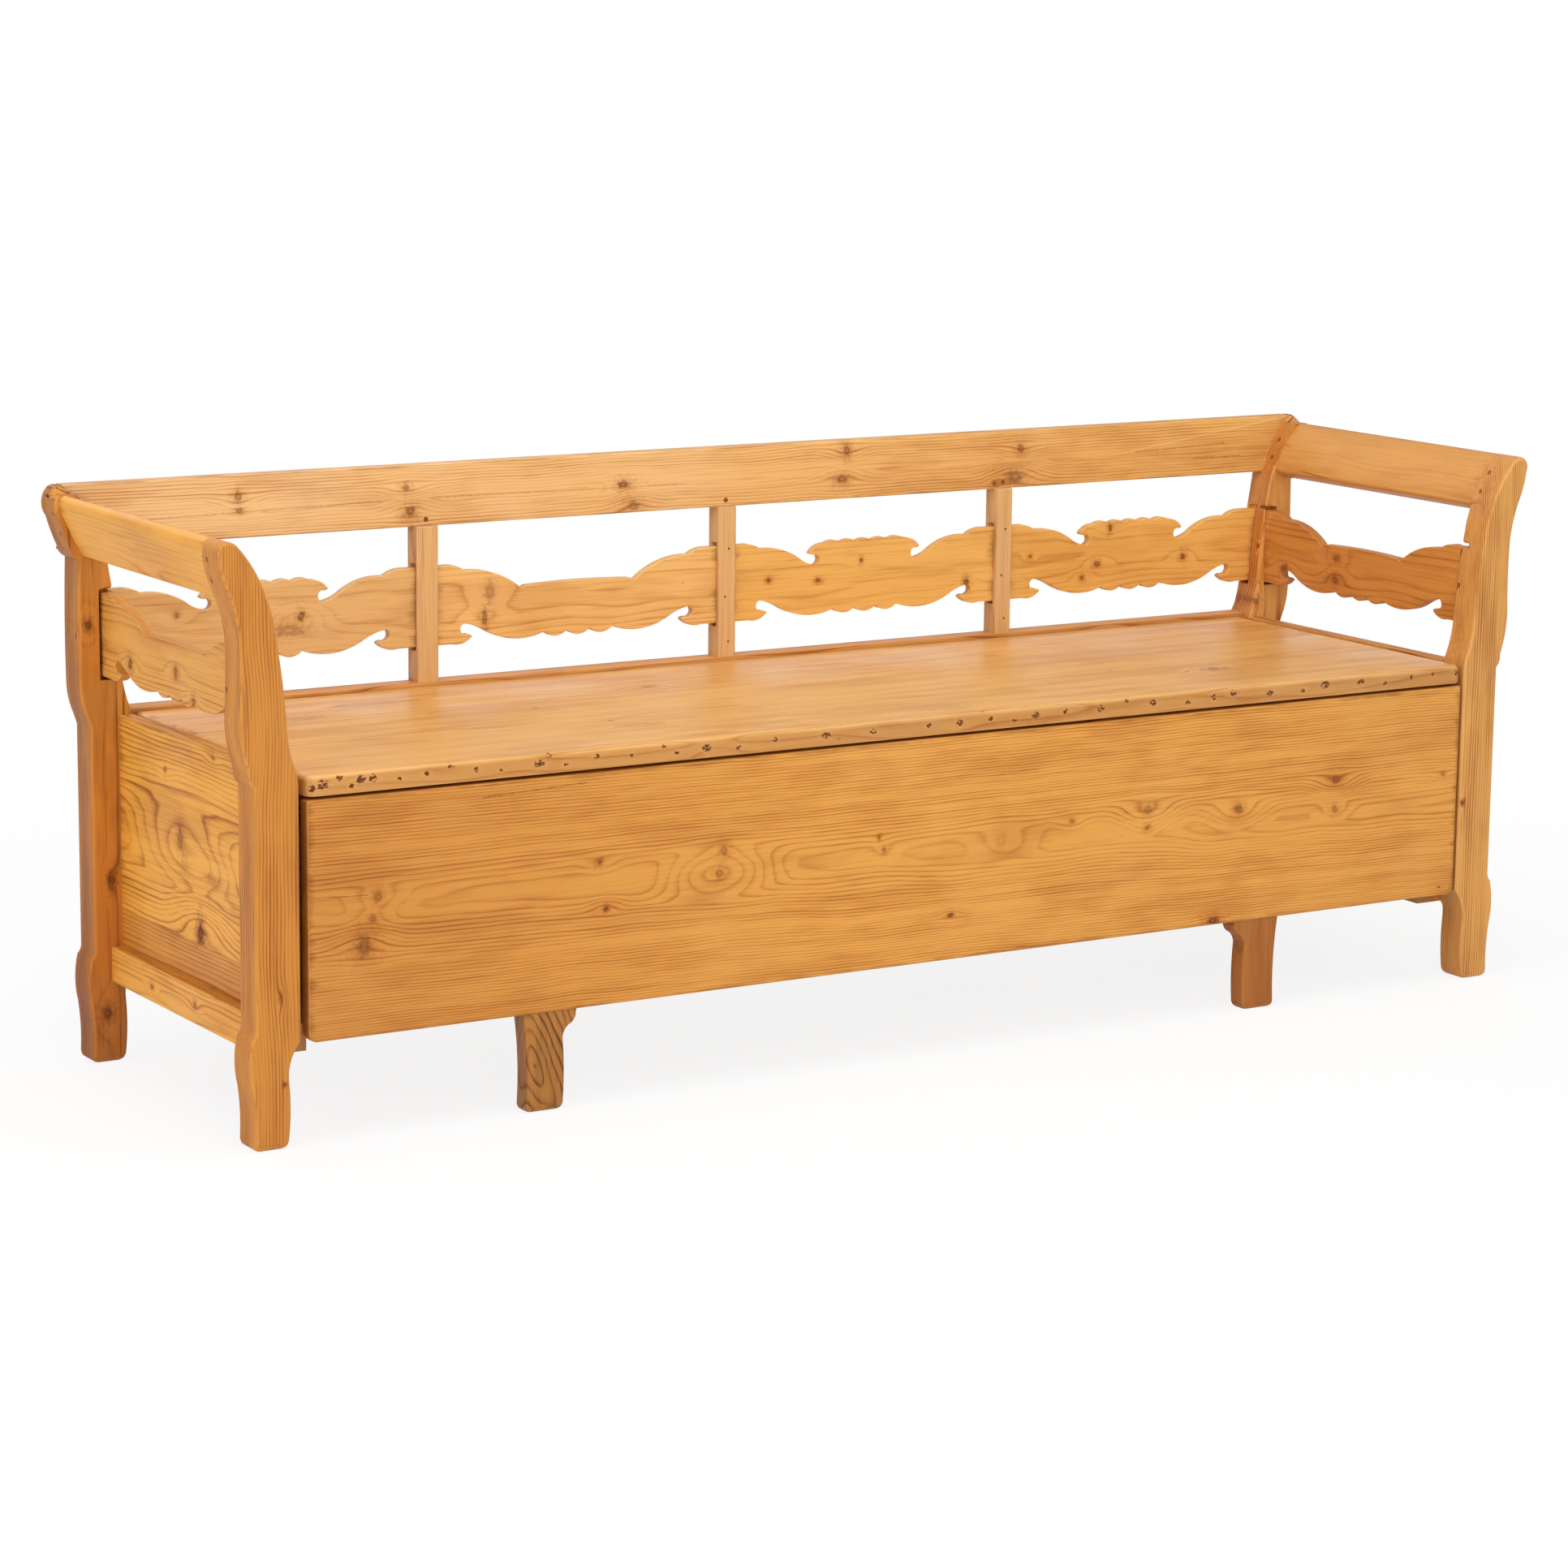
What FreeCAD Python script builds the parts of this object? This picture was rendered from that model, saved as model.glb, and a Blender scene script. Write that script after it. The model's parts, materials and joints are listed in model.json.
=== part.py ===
"""Pull-out bench bed in old pine: a settle whose seat box opens into a bed.

X runs along the bench, Y from front to back, Z up. The origin lies on the floor under the
middle of the bench. Lengths are millimetres. The joined frame stands on four sawn posts, the
drawer slides out of its front on two legs of its own, and the seat is a loose lid.
"""
import FreeCAD, Part
import math
import os
import re
import Sketcher

Vector = FreeCAD.Vector

# Driving dimensions: name, value, what it measures
DIMENSIONS = [
    ("length", 2000, "between the outer faces of the posts on their straight stretch"),
    ("depth", 566, "from the front of the front posts to the back of the back posts"),
    ("seat_height", 475, "floor to the top of the seat lid"),
    ("head_height", 786, "floor to the top of the back posts and of the back rail"),
    ("front_head_drop", 11, "front posts and arm rails lower than the back posts"),
    ("head_shoulder", 8, "run of the step where a back post's head is dressed down to the arm rests"),
    ("foot_height", 135, "floor to the shoulder where the foot starts"),
    ("post_width", 62, "post, along the bench"),
    ("post_depth", 51, "post, front to back"),
    ("back_rail_height", 86, "top rail of the back"),
    ("back_rail_thickness", 24, "top rail of the back"),
    ("tenon_thickness", 12, "tenons of the rails"),
    ("tenon_length", 26, "tenons of the rails"),
    ("tenon_shoulder", 11, "rail left above and below a tenon"),
    ("top_tenon_height", 46, "tenons of the back rail"),
    ("end_board_thickness", 21, "boards of the closed ends"),
    ("end_board_joint", 212, "floor to the joint of the two end boards"),
    ("end_board_rise", 1, "end boards above the seat"),
    ("end_rail_foot", 111, "floor to the underside of the end rails"),
    ("end_rail_head", 160, "floor to the top of the end rails"),
    ("end_rail_inset", 25, "end rail behind the outer face of the posts"),
    ("tongue_thickness", 9, "tongues on the edges of the boards"),
    ("tongue_length", 9, "tongues on the edges of the boards"),
    ("ledge_thickness", 31, "seat rail of the back, and the lowest back rail"),
    ("ledge_rise", 6, "seat rail of the back above the seat"),
    ("ledge_height", 90, "seat rail of the back"),
    ("back_low_foot", 137, "floor to the underside of the lowest back rail"),
    ("back_low_height", 49, "lowest back rail"),
    ("back_board_thickness", 20, "boards that close the back of the box"),
    ("back_board_joint", 290, "floor to the joint of the two back boards"),
    ("bay_allowance", 15, "stile spacing less than a quarter of the length"),
    ("stile_width", 29, "middle and right stile, and the laths nailed over them"),
    ("plain_stile_width", 34, "left stile, which has no lath"),
    ("stile_depth", 24, "middle and right stile, front to back"),
    ("lath_thickness", 5, "lath nailed over the splat ends"),
    ("stile_tenon", 14, "stile tenons: length, width and thickness"),
    ("splat_margin", 1, "between the cut pattern of a back splat and the stile beside it"),
    ("splat_thickness", 14, "back splats"),
    ("splat_setback", 7, "front of a back splat behind the front of the laths"),
    ("splat_housing", 8, "how far a back splat runs into a stile"),
    ("splat_post_reach", 28, "end of a back splat beyond the straight inner face of the post"),
    ("splat_slack", 5, "housing left open above and below a splat"),
    ("arm_splat_thickness", 16, "splats under the arms"),
    ("arm_splat_inset", 20, "outer face of an arm splat behind the outer face of the posts"),
    ("arm_splat_housing", 16, "how far an arm splat runs into a post"),
    ("arm_splat_slot", 5, "housing left open beside an arm splat in a back post"),
    ("peg_radius", 4, "whittled wooden pegs through the joints, to their corners"),
    ("nail_radius", 2, "square hand-made nails, to their corners"),
    ("nail_length", 16, "square hand-made nails"),
    ("runner_width", 30, "runners on the ends, under the drawer sides"),
    ("runner_head", 150, "floor to the top of the runners"),
    ("slat_bed", 165, "floor to the underside of the slats"),
    ("slat_thickness", 18, "slats of the bed"),
    ("slat_width", 75, "slats of the bed"),
    ("slat_margin", 31.5, "outermost slat from the end of the rail under it"),
    ("cross_rail_width", 45, "fixed rail under the front ends of the fixed slats"),
    ("cross_rail_height", 35, "fixed rail under the front ends of the fixed slats"),
    ("cross_rail_gap", 45, "end of the fixed rail to the inner face of the post"),
    ("stub_shoulder", 4, "fixed rail left under its stub tenons"),
    ("cleat_width", 25, "cleats under the slats and the lid"),
    ("lid_cleat_height", 20, "cleats under the lid"),
    ("running_gap", 3, "between the closed drawer or the lid and what stands still beside them"),
    ("box_offset", 3, "drawer and lid stand this far right of the middle"),
    ("front_end_gap", 8, "mean gap between the front board and a post"),
    ("front_foot", 133, "floor to the underside of the front board"),
    ("front_thickness", 22, "front board of the drawer"),
    ("front_corner", 12, "worn lower corners of the front board"),
    ("front_setback", 1, "front board and lid behind the front of the posts"),
    ("lid_gap", 4, "between the front board and the lid"),
    ("side_board_thickness", 20, "side boards of the drawer"),
    ("side_board_drop", 48, "head of the drawer sides below the underside of the lid"),
    ("side_board_inset", 8, "side boards of the drawer behind the ends of the front board"),
    ("rear_batten_width", 42, "batten that joins the moving slats"),
    ("rear_batten_height", 30, "batten that joins the moving slats"),
    ("leg_inset", 347, "end of the front board to the middle of a drawer leg"),
    ("leg_offset", 5, "drawer legs left of the middle"),
    ("leg_width", 54, "drawer leg at its middle"),
    ("leg_depth", 32, "drawer leg, front to back"),
    ("leg_setback", 2, "front of the drawer legs behind the face of the front board"),
    ("leg_tongue", 165, "upper part of a leg, behind the front board"),
    ("leg_tongue_width", 50, "upper part of a leg, behind the front board"),
    ("lid_end_gap", 7.5, "mean gap between the end of the lid and a post"),
    ("lid_thickness", 27, "seat lid"),
    ("lid_back_gap", 2, "between the lid and the seat rail of the back"),
    ("lid_joint", 345, "front of the lid to its glued joint"),
    ("lid_corner", 14, "rounded front corners of the lid"),
    ("lid_round", 8, "rounded front edge of the lid"),
    ("lid_batten_width", 60, "battens under the lid"),
    ("lid_batten_thickness", 22, "battens under the lid"),
    ("lid_batten_end", 330, "end of the lid to the middle of its outer battens"),
    ("lid_batten_inset", 36, "lid batten behind the front edge of the lid"),
]

FIXED_SLATS = 9
MOVING_SLATS = 8
PEG_SIDES = 6
NAIL_SIDES = 4

doc = FreeCAD.newDocument("PullOutBenchBed")
sheet = doc.addObject("Spreadsheet::Sheet", "Sizes")
for row, (name, value, note) in enumerate(DIMENSIONS, start=1):
    sheet.set(f"A{row}", name)
    sheet.set(f"B{row}", str(value))
    sheet.setAlias(f"B{row}", name)
    sheet.set(f"C{row}", note)
doc.recompute()

nodes = {}


def bound(text):
    """A sum of dimension names, written as an expression on the sheet."""
    return re.sub("[a-z_]+", lambda word: "Sizes." + word.group(), str(text))


def worth(text):
    """The number that such a sum stands for."""
    return float(sheet.evalExpression(bound(text)))


def keep(label, thing):
    """Names a finished sub-part."""
    thing.Label = label
    nodes[label] = thing
    return thing


def mirror_low(side, low, span):
    """Lowest X of a piece that starts at low on the right, or of its mirror image on the left."""
    return low if side > 0 else f"-({low}) - ({span})"


def block(name, low, spans):
    """A squared piece: its lowest corner and its spans along X, Y and Z, as sums of names."""
    box = doc.addObject("Part::Box", name)
    for prop, text in zip(("Length", "Width", "Height"), spans):
        box.setExpression(prop, bound(text))
    for axis, text in zip("xyz", low):
        box.setExpression(f"Placement.Base.{axis}", bound(text))
    return box


def joined(name, *pieces):
    """Parts of one stick, as one solid."""
    fuse = doc.addObject("Part::MultiFuse", name)
    fuse.Shapes = list(pieces)
    fuse.Refine = True
    return fuse


def group(name, *pieces):
    """Separate solids under one name."""
    compound = doc.addObject("Part::Compound", name)
    compound.Links = list(pieces)
    return compound


def cut(name, base, *tools):
    """What is left of a piece after its joints are cut."""
    away = doc.addObject("Part::Cut", name)
    away.Base = base
    away.Tool = tools[0] if len(tools) == 1 else joined(name + "_tools", *tools)
    return away


def common(name, base, tool):
    """What of a piece lies inside another."""
    both = doc.addObject("Part::Common", name)
    both.Base = base
    both.Tool = tool
    return both


def whittled(name, sides, radius, length, place, axis):
    """A many-sided peg or nail from a place along an axis; its lengths are sums of names."""
    prism = doc.addObject("Part::Prism", name)
    prism.Polygon = sides
    prism.setExpression("Circumradius", bound(radius))
    prism.setExpression("Height", bound(length))
    turn = FreeCAD.Rotation(Vector(0, 0, 1), Vector(*axis))
    prism.Placement = FreeCAD.Placement(Vector(), turn)
    for letter, text in zip("xyz", place):
        prism.setExpression(f"Placement.Base.{letter}", bound(text))
    return prism


def curve(kind, points):
    """A line, or an arc through three points."""
    spots = [Vector(a, b, 0) for a, b in points]
    return Part.LineSegment(*spots) if kind == "line" else Part.Arc(*spots)


def arcs(points):
    """Arcs end to end: every second point is an end, and the ones between lie on the arcs."""
    return [("arc", points[i:i + 3]) for i in range(0, len(points) - 2, 2)]


def lines(points):
    """Straight edges from point to point."""
    return [("line", [start, end]) for start, end in zip(points, points[1:])]


def tie_ends(sketch, first, second):
    """Holds the meeting ends of two neighbouring curves together."""
    pairs = [(i, j) for i in (1, 2) for j in (1, 2)]
    gaps = [sketch.getPoint(first, i).distanceToPoint(sketch.getPoint(second, j)) for i, j in pairs]
    i, j = pairs[gaps.index(min(gaps))]
    sketch.addConstraint(Sketcher.Constraint("Coincident", first, i, second, j))


def sawn(name, plane, outline, thickness, low, backwards=False):
    """A board sawn to an outline that lies in an origin plane, padded to its thickness."""
    body = doc.addObject("PartDesign::Body", name)
    sketch = body.newObject("Sketcher::SketchObject", name + "_outline")
    origin = next(f for f in body.Origin.OriginFeatures if f.Role == plane)
    sketch.AttachmentSupport = [(origin, "")]
    sketch.MapMode = "FlatFace"
    for kind, points in outline:
        sketch.addGeometry(curve(kind, points))
    for i in range(len(outline)):
        tie_ends(sketch, i, (i + 1) % len(outline))
    pad = body.newObject("PartDesign::Pad", name + "_pad")
    pad.Profile = sketch
    pad.setExpression("Length", bound(thickness))
    pad.Reversed = backwards
    for axis, text in zip("xyz", low):
        body.setExpression(f"Placement.Base.{axis}", bound(text))
    return body


def soften(body, radius, chosen):
    """Rounds the edges of a body that a test picks out."""
    doc.recompute()
    pad = body.Tip
    edges = [f"Edge{i}" for i, edge in enumerate(pad.Shape.Edges, start=1) if chosen(edge)]
    fillet = body.newObject("PartDesign::Fillet", body.Name + "_rounding")
    fillet.Base = (pad, edges)
    fillet.setExpression("Radius", bound(radius))
    body.Tip = fillet
    return body


def mirrored(outline):
    """The same outline on the other side of the middle."""
    return [(kind, [(-a, b) for a, b in reversed(points)]) for kind, points in reversed(outline)]


# Places that several pieces share
FRONT = "-depth / 2"
POST_INNER = "length / 2 - post_width"
FRONT_POST_BACK = "-depth / 2 + post_depth"
BACK_POST_FRONT = "depth / 2 - post_depth"
BETWEEN_POSTS = "(depth - 2 * post_depth)"
LEDGE_FRONT = "depth / 2 - ledge_thickness"
LEDGE_HEAD = "(seat_height + ledge_rise)"
LEDGE_FOOT = "(seat_height + ledge_rise - ledge_height)"
RAIL_FOOT = "(head_height - back_rail_height)"
STILE_FRONT = "depth / 2 - stile_depth"
LATH_FRONT = "depth / 2 - stile_depth - lath_thickness"
BAY_PITCH = "(length / 4 - bay_allowance)"
# foot and height of the splats, as shares of the opening between the seat rail and the top rail
SPLAT_FOOT_SHARE = 0.2237
SPLAT_HEIGHT_SHARE = 0.5114
BACK_OPENING = f"({RAIL_FOOT} - {LEDGE_HEAD})"
SPLAT_FOOT = f"({LEDGE_HEAD} + {BACK_OPENING} * {SPLAT_FOOT_SHARE})"
SPLAT_HEIGHT = f"({BACK_OPENING} * {SPLAT_HEIGHT_SHARE})"
SPLAT_FRONT = LATH_FRONT + " + splat_setback"
HOUSING_DEPTH = "(splat_setback - lath_thickness + splat_thickness)"
HOUSING_FOOT = f"({SPLAT_FOOT} - splat_slack)"
HOUSING_HEIGHT = f"({SPLAT_HEIGHT} + 2 * splat_slack)"
LID_UNDERSIDE = "seat_height - lid_thickness"
BOX_FRONT = "-depth / 2 + front_setback"
BOARD_BACK = "-depth / 2 + front_setback + front_thickness"
FRONT_HALF = "(length / 2 - post_width - front_end_gap)"
ABOVE_SEAT = "(head_height - seat_height)"
ARM_ABOVE_SEAT = "(head_height - front_head_drop - seat_height)"
SIDES = (("left", -1), ("right", 1))
HALF_TURN_SHARE = math.sqrt(0.5)


# Posts

# outer edge from the floor to the straight stretch, as shares of post width and seat height
OUTER_LOW_SHARES = [
    (1.065, 0.000), (1.045, 0.084), (1.097, 0.168), (1.155, 0.238), (1.090, 0.306),
    (1.038, 0.315), (1.000, 0.330),
]
# outer edge of a front post from the seat to the head, as shares of post width and height above the seat
FRONT_HIGH_SHARES = [
    (1.000, -0.030), (1.075, -0.010), (1.105, 0.030), (1.222, 0.120), (1.282, 0.233),
    (1.250, 0.417), (1.262, 0.583), (1.350, 0.693), (1.531, 0.803),
    (1.629, 0.863), (1.685, 0.930), (1.665, 0.980), (1.516, 1.000),
]
# outer edge of a back post, straighter and with a shoulder under its head, in the same shares
BACK_HIGH_SHARES = [
    (1.000, -0.045), (1.055, -0.012), (1.115, 0.020), (1.190, 0.072), (1.230, 0.150),
    (1.238, 0.400), (1.205, 0.686), (1.300, 0.698), (1.384, 0.733),
    (1.531, 0.806), (1.629, 0.866), (1.700, 0.950), (1.516, 1.000),
]
# inner edge from the head down to the underside of the arm rail, in the same shares
INNER_HEAD_SHARES = [(1.516, 1.000), (1.406, 0.9965), (1.290, 0.983), (0.952, 0.893), (0.653, 0.760)]
# inner edge from there down to the straight stretch, in the same shares
INNER_SEAT_SHARES = [
    (0.653, 0.760), (0.548, 0.697), (0.484, 0.630), (0.347, 0.450), (0.242, 0.233),
    (0.202, 0.143), (0.113, 0.067), (0.040, 0.023), (0.000, -0.030),
]
# hollow of the foot from its shoulder down, as shares of post width and foot height
FOOT_INNER_SHARES = [(0.000, 1.015), (0.185, 0.881), (0.262, 0.637), (0.243, 0.296), (0.305, 0.000)]
# inner edge of a post beside the middle of a splat, as a share of post width
SPLAT_EDGE_SHARE = 0.306
# end of the top rail's upper half, scribed over the post heads, as a share of post width
RAIL_CREST_SHARE = 1.36


def post_points(shares, foot, height):
    """Points of a post's outline from their shares."""
    inner = worth(POST_INNER)
    width = worth("post_width")
    return [(inner + across * width, foot + up * height) for across, up in shares]


def post_outline(above, high_shares):
    """Right-hand post seen from the front, anticlockwise from the floor."""
    seat = worth("seat_height")
    low = post_points(OUTER_LOW_SHARES, 0, seat)
    high = post_points(high_shares, seat, above)
    inner = post_points(INNER_HEAD_SHARES + INNER_SEAT_SHARES[1:], seat, above)
    hollow = post_points(FOOT_INNER_SHARES, 0, worth("foot_height"))
    return (
        arcs(low) + lines([low[-1], high[0]]) + arcs(high)
        + arcs(inner) + lines([inner[-1], hollow[0]]) + arcs(hollow) + lines([hollow[-1], low[0]]))


def post_blank(name, side, low_y, above, high_shares):
    """A post before its joints are cut."""
    outline = post_outline(worth(above), high_shares)
    if side < 0:
        outline = mirrored(outline)
    return sawn(name, "XZ_Plane", outline, "post_depth", ("0", low_y, "0"), backwards=True)


# rows of posts: front face, height above the seat and outer edge
POST_ROWS = {
    "front": (FRONT, ARM_ABOVE_SEAT, FRONT_HIGH_SHARES),
    "back": (BACK_POST_FRONT, ABOVE_SEAT, BACK_HIGH_SHARES),
}
blanks = {}
for side_name, side in SIDES:
    for row, row_values in POST_ROWS.items():
        blanks[row, side] = post_blank(f"{row}_{side_name}_blank", side, *row_values)
post_joints = {key: [] for key in blanks}


def into_posts(row, tool, sides=(-1, 1)):
    """Notes a tenon, tongue or peg that the posts of one row are cut for."""
    for side in sides:
        post_joints[row, side].append(tool)


def head_slope():
    """What is dressed off the back posts' heads, down to the height of the arm rests."""
    front = worth(BACK_POST_FRONT)
    rail = worth("depth / 2 - back_rail_thickness")
    head = worth("head_height")
    low = worth("head_height - front_head_drop")
    corners = [(front, low), (rail - worth("head_shoulder"), low), (rail, head), (front, head)]
    half = f"({POST_INNER} + 2 * post_width)"
    return sawn("head_slope", "YZ_Plane", lines(corners + corners[:1]), f"2 * {half}", (f"-{half}", "0", "0"))


into_posts("back", head_slope())


# Rails and boards of the back

def rail_stock(name, foot, height, thickness, reach):
    """Squared stick along the back that runs a reach beyond the inner faces of the posts."""
    half = f"({POST_INNER} + {reach})"
    return block(name, (f"-{half}", f"depth / 2 - {thickness}", foot), (f"2 * {half}", thickness, height))


def scribed_rail(label, foot, height, thickness, tenon_foot, tenon_height, reach, crest=None):
    """Rail between the back posts, its ends scribed to their sawn edges, with its tenons."""
    bar = rail_stock(label + "_bar", foot, height, thickness, reach)
    if crest:
        middle = f"{foot} + {height} / 2"
        upper_half = rail_stock(label + "_upper_half", middle, f"{height} / 2", thickness, crest)
        bar = joined(label + "_stock", bar, upper_half)
    scribed = cut(label + "_scribed", bar, blanks["back", -1], blanks["back", 1])
    tenon_half = f"({POST_INNER} + {reach} / 2 + tenon_length)"
    tenon_y = f"depth / 2 - ({thickness} + tenon_thickness) / 2"
    tenon = block(label + "_tenon", (f"-{tenon_half}", tenon_y, tenon_foot),
                  (f"2 * {tenon_half}", "tenon_thickness", tenon_height))
    into_posts("back", tenon)
    return joined(label + "_whole", scribed, tenon)


def tongued_board(label, low, spans, tongue_low, tongue_spans):
    """A board with the tongue that runs out of its edges, and that tongue by itself."""
    board = block(label + "_plank", low, spans)
    tongue = block(label + "_tongue", tongue_low, tongue_spans)
    return joined(label + "_whole", board, tongue), tongue


def back_board(label, foot, head, tongue_foot, tongue_head):
    """Board that closes the back of the box, in grooves of the posts and rails."""
    tongue_half = f"({POST_INNER} + tongue_length)"
    return tongued_board(
        label,
        (f"-({POST_INNER})", "depth / 2 - (ledge_thickness + back_board_thickness) / 2", foot),
        (f"2 * ({POST_INNER})", "back_board_thickness", f"{head} - ({foot})"),
        (f"-{tongue_half}", "depth / 2 - (ledge_thickness + tongue_thickness) / 2", tongue_foot),
        (f"2 * {tongue_half}", "tongue_thickness", f"({tongue_head}) - ({tongue_foot})"))


top_rail = scribed_rail(
    "back_top_rail", RAIL_FOOT, "back_rail_height", "back_rail_thickness",
    RAIL_FOOT + " + tenon_shoulder", "top_tenon_height", "post_width", f"post_width * {RAIL_CREST_SHARE}")
ledge = scribed_rail(
    "back_seat_rail", LEDGE_FOOT, "ledge_height", "ledge_thickness",
    LEDGE_FOOT + " + tenon_shoulder", "ledge_height - 2 * tenon_shoulder", "tongue_length")
low_rail = scribed_rail(
    "back_bottom_rail", "back_low_foot", "back_low_height", "ledge_thickness",
    "back_low_foot + tenon_shoulder", "back_low_height - 2 * tenon_shoulder", "0")
lower_back, lower_back_tongue = back_board(
    "back_lower_board", "back_low_foot + back_low_height", "back_board_joint",
    "back_low_foot + back_low_height - tongue_length", "back_board_joint + tongue_length")
upper_back, upper_back_tongue = back_board(
    "back_upper_board", "back_board_joint", LEDGE_FOOT, "back_board_joint", LEDGE_FOOT + " + tongue_length")
into_posts("back", lower_back_tongue)
into_posts("back", upper_back_tongue)
keep("back_lower_board", lower_back)
keep("back_upper_board", cut("back_upper_board_grooved", upper_back, lower_back_tongue))
keep("back_bottom_rail", cut("back_bottom_rail_grooved", low_rail, lower_back_tongue))


# Stiles: name, place counted from the middle one, width, whether a lath covers the splat ends
STILES = (
    ("left_stile", -1, "plain_stile_width", False),
    ("middle_stile", 0, "stile_width", True),
    ("right_stile", 1, "stile_width", True),
)
NAIL_HEIGHT_SHARES = (0.10, 0.40, 0.72)
NAIL_SIDE_SHARES = (0.10, -0.10, 0.10)
stile_tenons = []
stile_pegs = []
lath_nails = []


def stile_housings(label, centre, width):
    """Notches in both sides of a stile that take the splat ends."""
    spans = ("splat_housing", HOUSING_DEPTH, HOUSING_HEIGHT)
    low = f"{centre} - {width} / 2"
    high = f"{centre} + {width} / 2 - splat_housing"
    return [
        block(label + "_left_housing", (low, STILE_FRONT, HOUSING_FOOT), spans),
        block(label + "_right_housing", (high, STILE_FRONT, HOUSING_FOOT), spans),
    ]


def stile_peg(label, centre):
    """Peg through the back rail and the tenon of the stile below it."""
    place = (centre, "depth / 2 - back_rail_thickness", RAIL_FOOT + " + (stile_tenon + peg_radius) / 2")
    return whittled(label + "_peg", PEG_SIDES, "peg_radius", "back_rail_thickness", place, (0, 1, 0))


def lath_nail_row(label, centre):
    """Nails down a lath, driven into the stile between the splat ends."""
    nails = []
    for i, (up, aside) in enumerate(zip(NAIL_HEIGHT_SHARES, NAIL_SIDE_SHARES), start=1):
        height = f"{LEDGE_HEAD} + {BACK_OPENING} * {up}"
        place = (f"{centre} + stile_width * {aside}", LATH_FRONT, height)
        name = f"{label}_nail_{i}"
        nails.append(whittled(name, NAIL_SIDES, "nail_radius", "nail_length", place, (0, 1, 0)))
    return nails


def stile(label, place, width, has_lath):
    """Upright of the back between the seat rail and the top rail, with its lath."""
    centre = f"{place} * {BAY_PITCH}"
    low_x = f"{centre} - {width} / 2"
    height = BACK_OPENING
    low_y = STILE_FRONT if has_lath else LATH_FRONT
    depth = "stile_depth" if has_lath else "stile_depth + lath_thickness"
    bar = block(label + "_bar", (low_x, low_y, LEDGE_HEAD), (width, depth, height))
    tenon_low = (f"{centre} - stile_tenon / 2", "depth / 2 - (stile_depth + stile_tenon) / 2",
                 LEDGE_HEAD + " - stile_tenon")
    tenon = block(label + "_tenon", tenon_low, ("stile_tenon", "stile_tenon", height + " + 2 * stile_tenon"))
    peg = stile_peg(label, centre)
    nails = lath_nail_row(label, centre) if has_lath else []
    stile_tenons.append(tenon)
    stile_pegs.append(peg)
    lath_nails.extend(nails)
    whole = joined(label + "_whole", bar, tenon)
    keep(label, cut(label + "_housed", whole, *stile_housings(label, centre, width), peg, *nails))
    if has_lath:
        lath = block(label + "_lath_strip", (low_x, LATH_FRONT, LEDGE_HEAD),
                     (width, "lath_thickness", height))
        keep(label + "_lath", cut(label + "_lath_nailed", lath, *nails))


for stile_values in STILES:
    stile(*stile_values)
keep("back_top_rail", cut("back_top_rail_mortised", top_rail, *stile_tenons, *stile_pegs))
keep("back_seat_rail", cut("back_seat_rail_mortised", ledge, *stile_tenons, upper_back_tongue))
keep("stile_pegs", group("stile_peg_group", *stile_pegs))
keep("lath_nails", group("lath_nail_group", *lath_nails))


# Splats, in shares of half the pattern's length and of the splat's height

# scallops of the raised block: their edges, cusps and crests
BLOCK_EDGE_SHARES = (0.061, 0.183, 0.304)
BLOCK_CUSP_SHARE = 0.940
BLOCK_CREST_SHARE = 0.972
# shoulder and hook of the block, the notch beside it and the hump up to the end lobe
BLOCK_SIDE_SHARES = [
    (0.304, 0.940), (0.375, 0.905), (0.420, 0.820), (0.398, 0.798), (0.382, 0.802),
    (0.352, 0.735), (0.392, 0.665), (0.455, 0.705), (0.515, 0.780), (0.640, 0.895), (0.797, 0.922),
]
# plain head: corner of the shallow middle, small dip and the hump up to the end lobe
FLAT_SIDE_SHARES = [(0.375, 0.678), (0.398, 0.655), (0.425, 0.682), (0.590, 0.862), (0.797, 0.922)]
FLAT_CREST_SHARE = 0.700
END_LOBE_SHARES = [(0.797, 0.922), (0.850, 0.978), (0.930, 1.000)]
# foot from its outer end: hooked lip, notch and long belly down to the small scallops
FOOT_SIDE_SHARES = [
    (0.890, 0.000), (0.800, 0.012), (0.748, 0.088), (0.765, 0.108), (0.790, 0.112),
    (0.831, 0.180), (0.805, 0.250), (0.740, 0.220), (0.661, 0.147), (0.4625, 0.0107), (0.243, 0.068),
]
FOOT_EDGE_SHARES = (0.243, 0.0815)
FOOT_CUSP_SHARE = 0.068
FOOT_CREST_SHARE = 0.004


def scallop(start, end, cusp, crest):
    """One small arc of a row, between two cusps of one height."""
    return [("arc", [(start, cusp), ((start + end) / 2, crest), (end, cusp)])]


def block_head():
    """Arc over the middle, and the right half, of a head with a raised scalloped block."""
    inner, middle, outer = BLOCK_EDGE_SHARES
    half = (
        scallop(inner, middle, BLOCK_CUSP_SHARE, BLOCK_CREST_SHARE)
        + scallop(middle, outer, BLOCK_CUSP_SHARE, BLOCK_CREST_SHARE)
        + arcs(BLOCK_SIDE_SHARES) + arcs(END_LOBE_SHARES))
    return scallop(-inner, inner, BLOCK_CUSP_SHARE, BLOCK_CREST_SHARE), half


def plain_head():
    """Arc over the middle, and the right half, of the head that dips between its humps."""
    across, up = FLAT_SIDE_SHARES[0]
    return scallop(-across, across, up, FLAT_CREST_SHARE), arcs(FLAT_SIDE_SHARES) + arcs(END_LOBE_SHARES)


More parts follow.
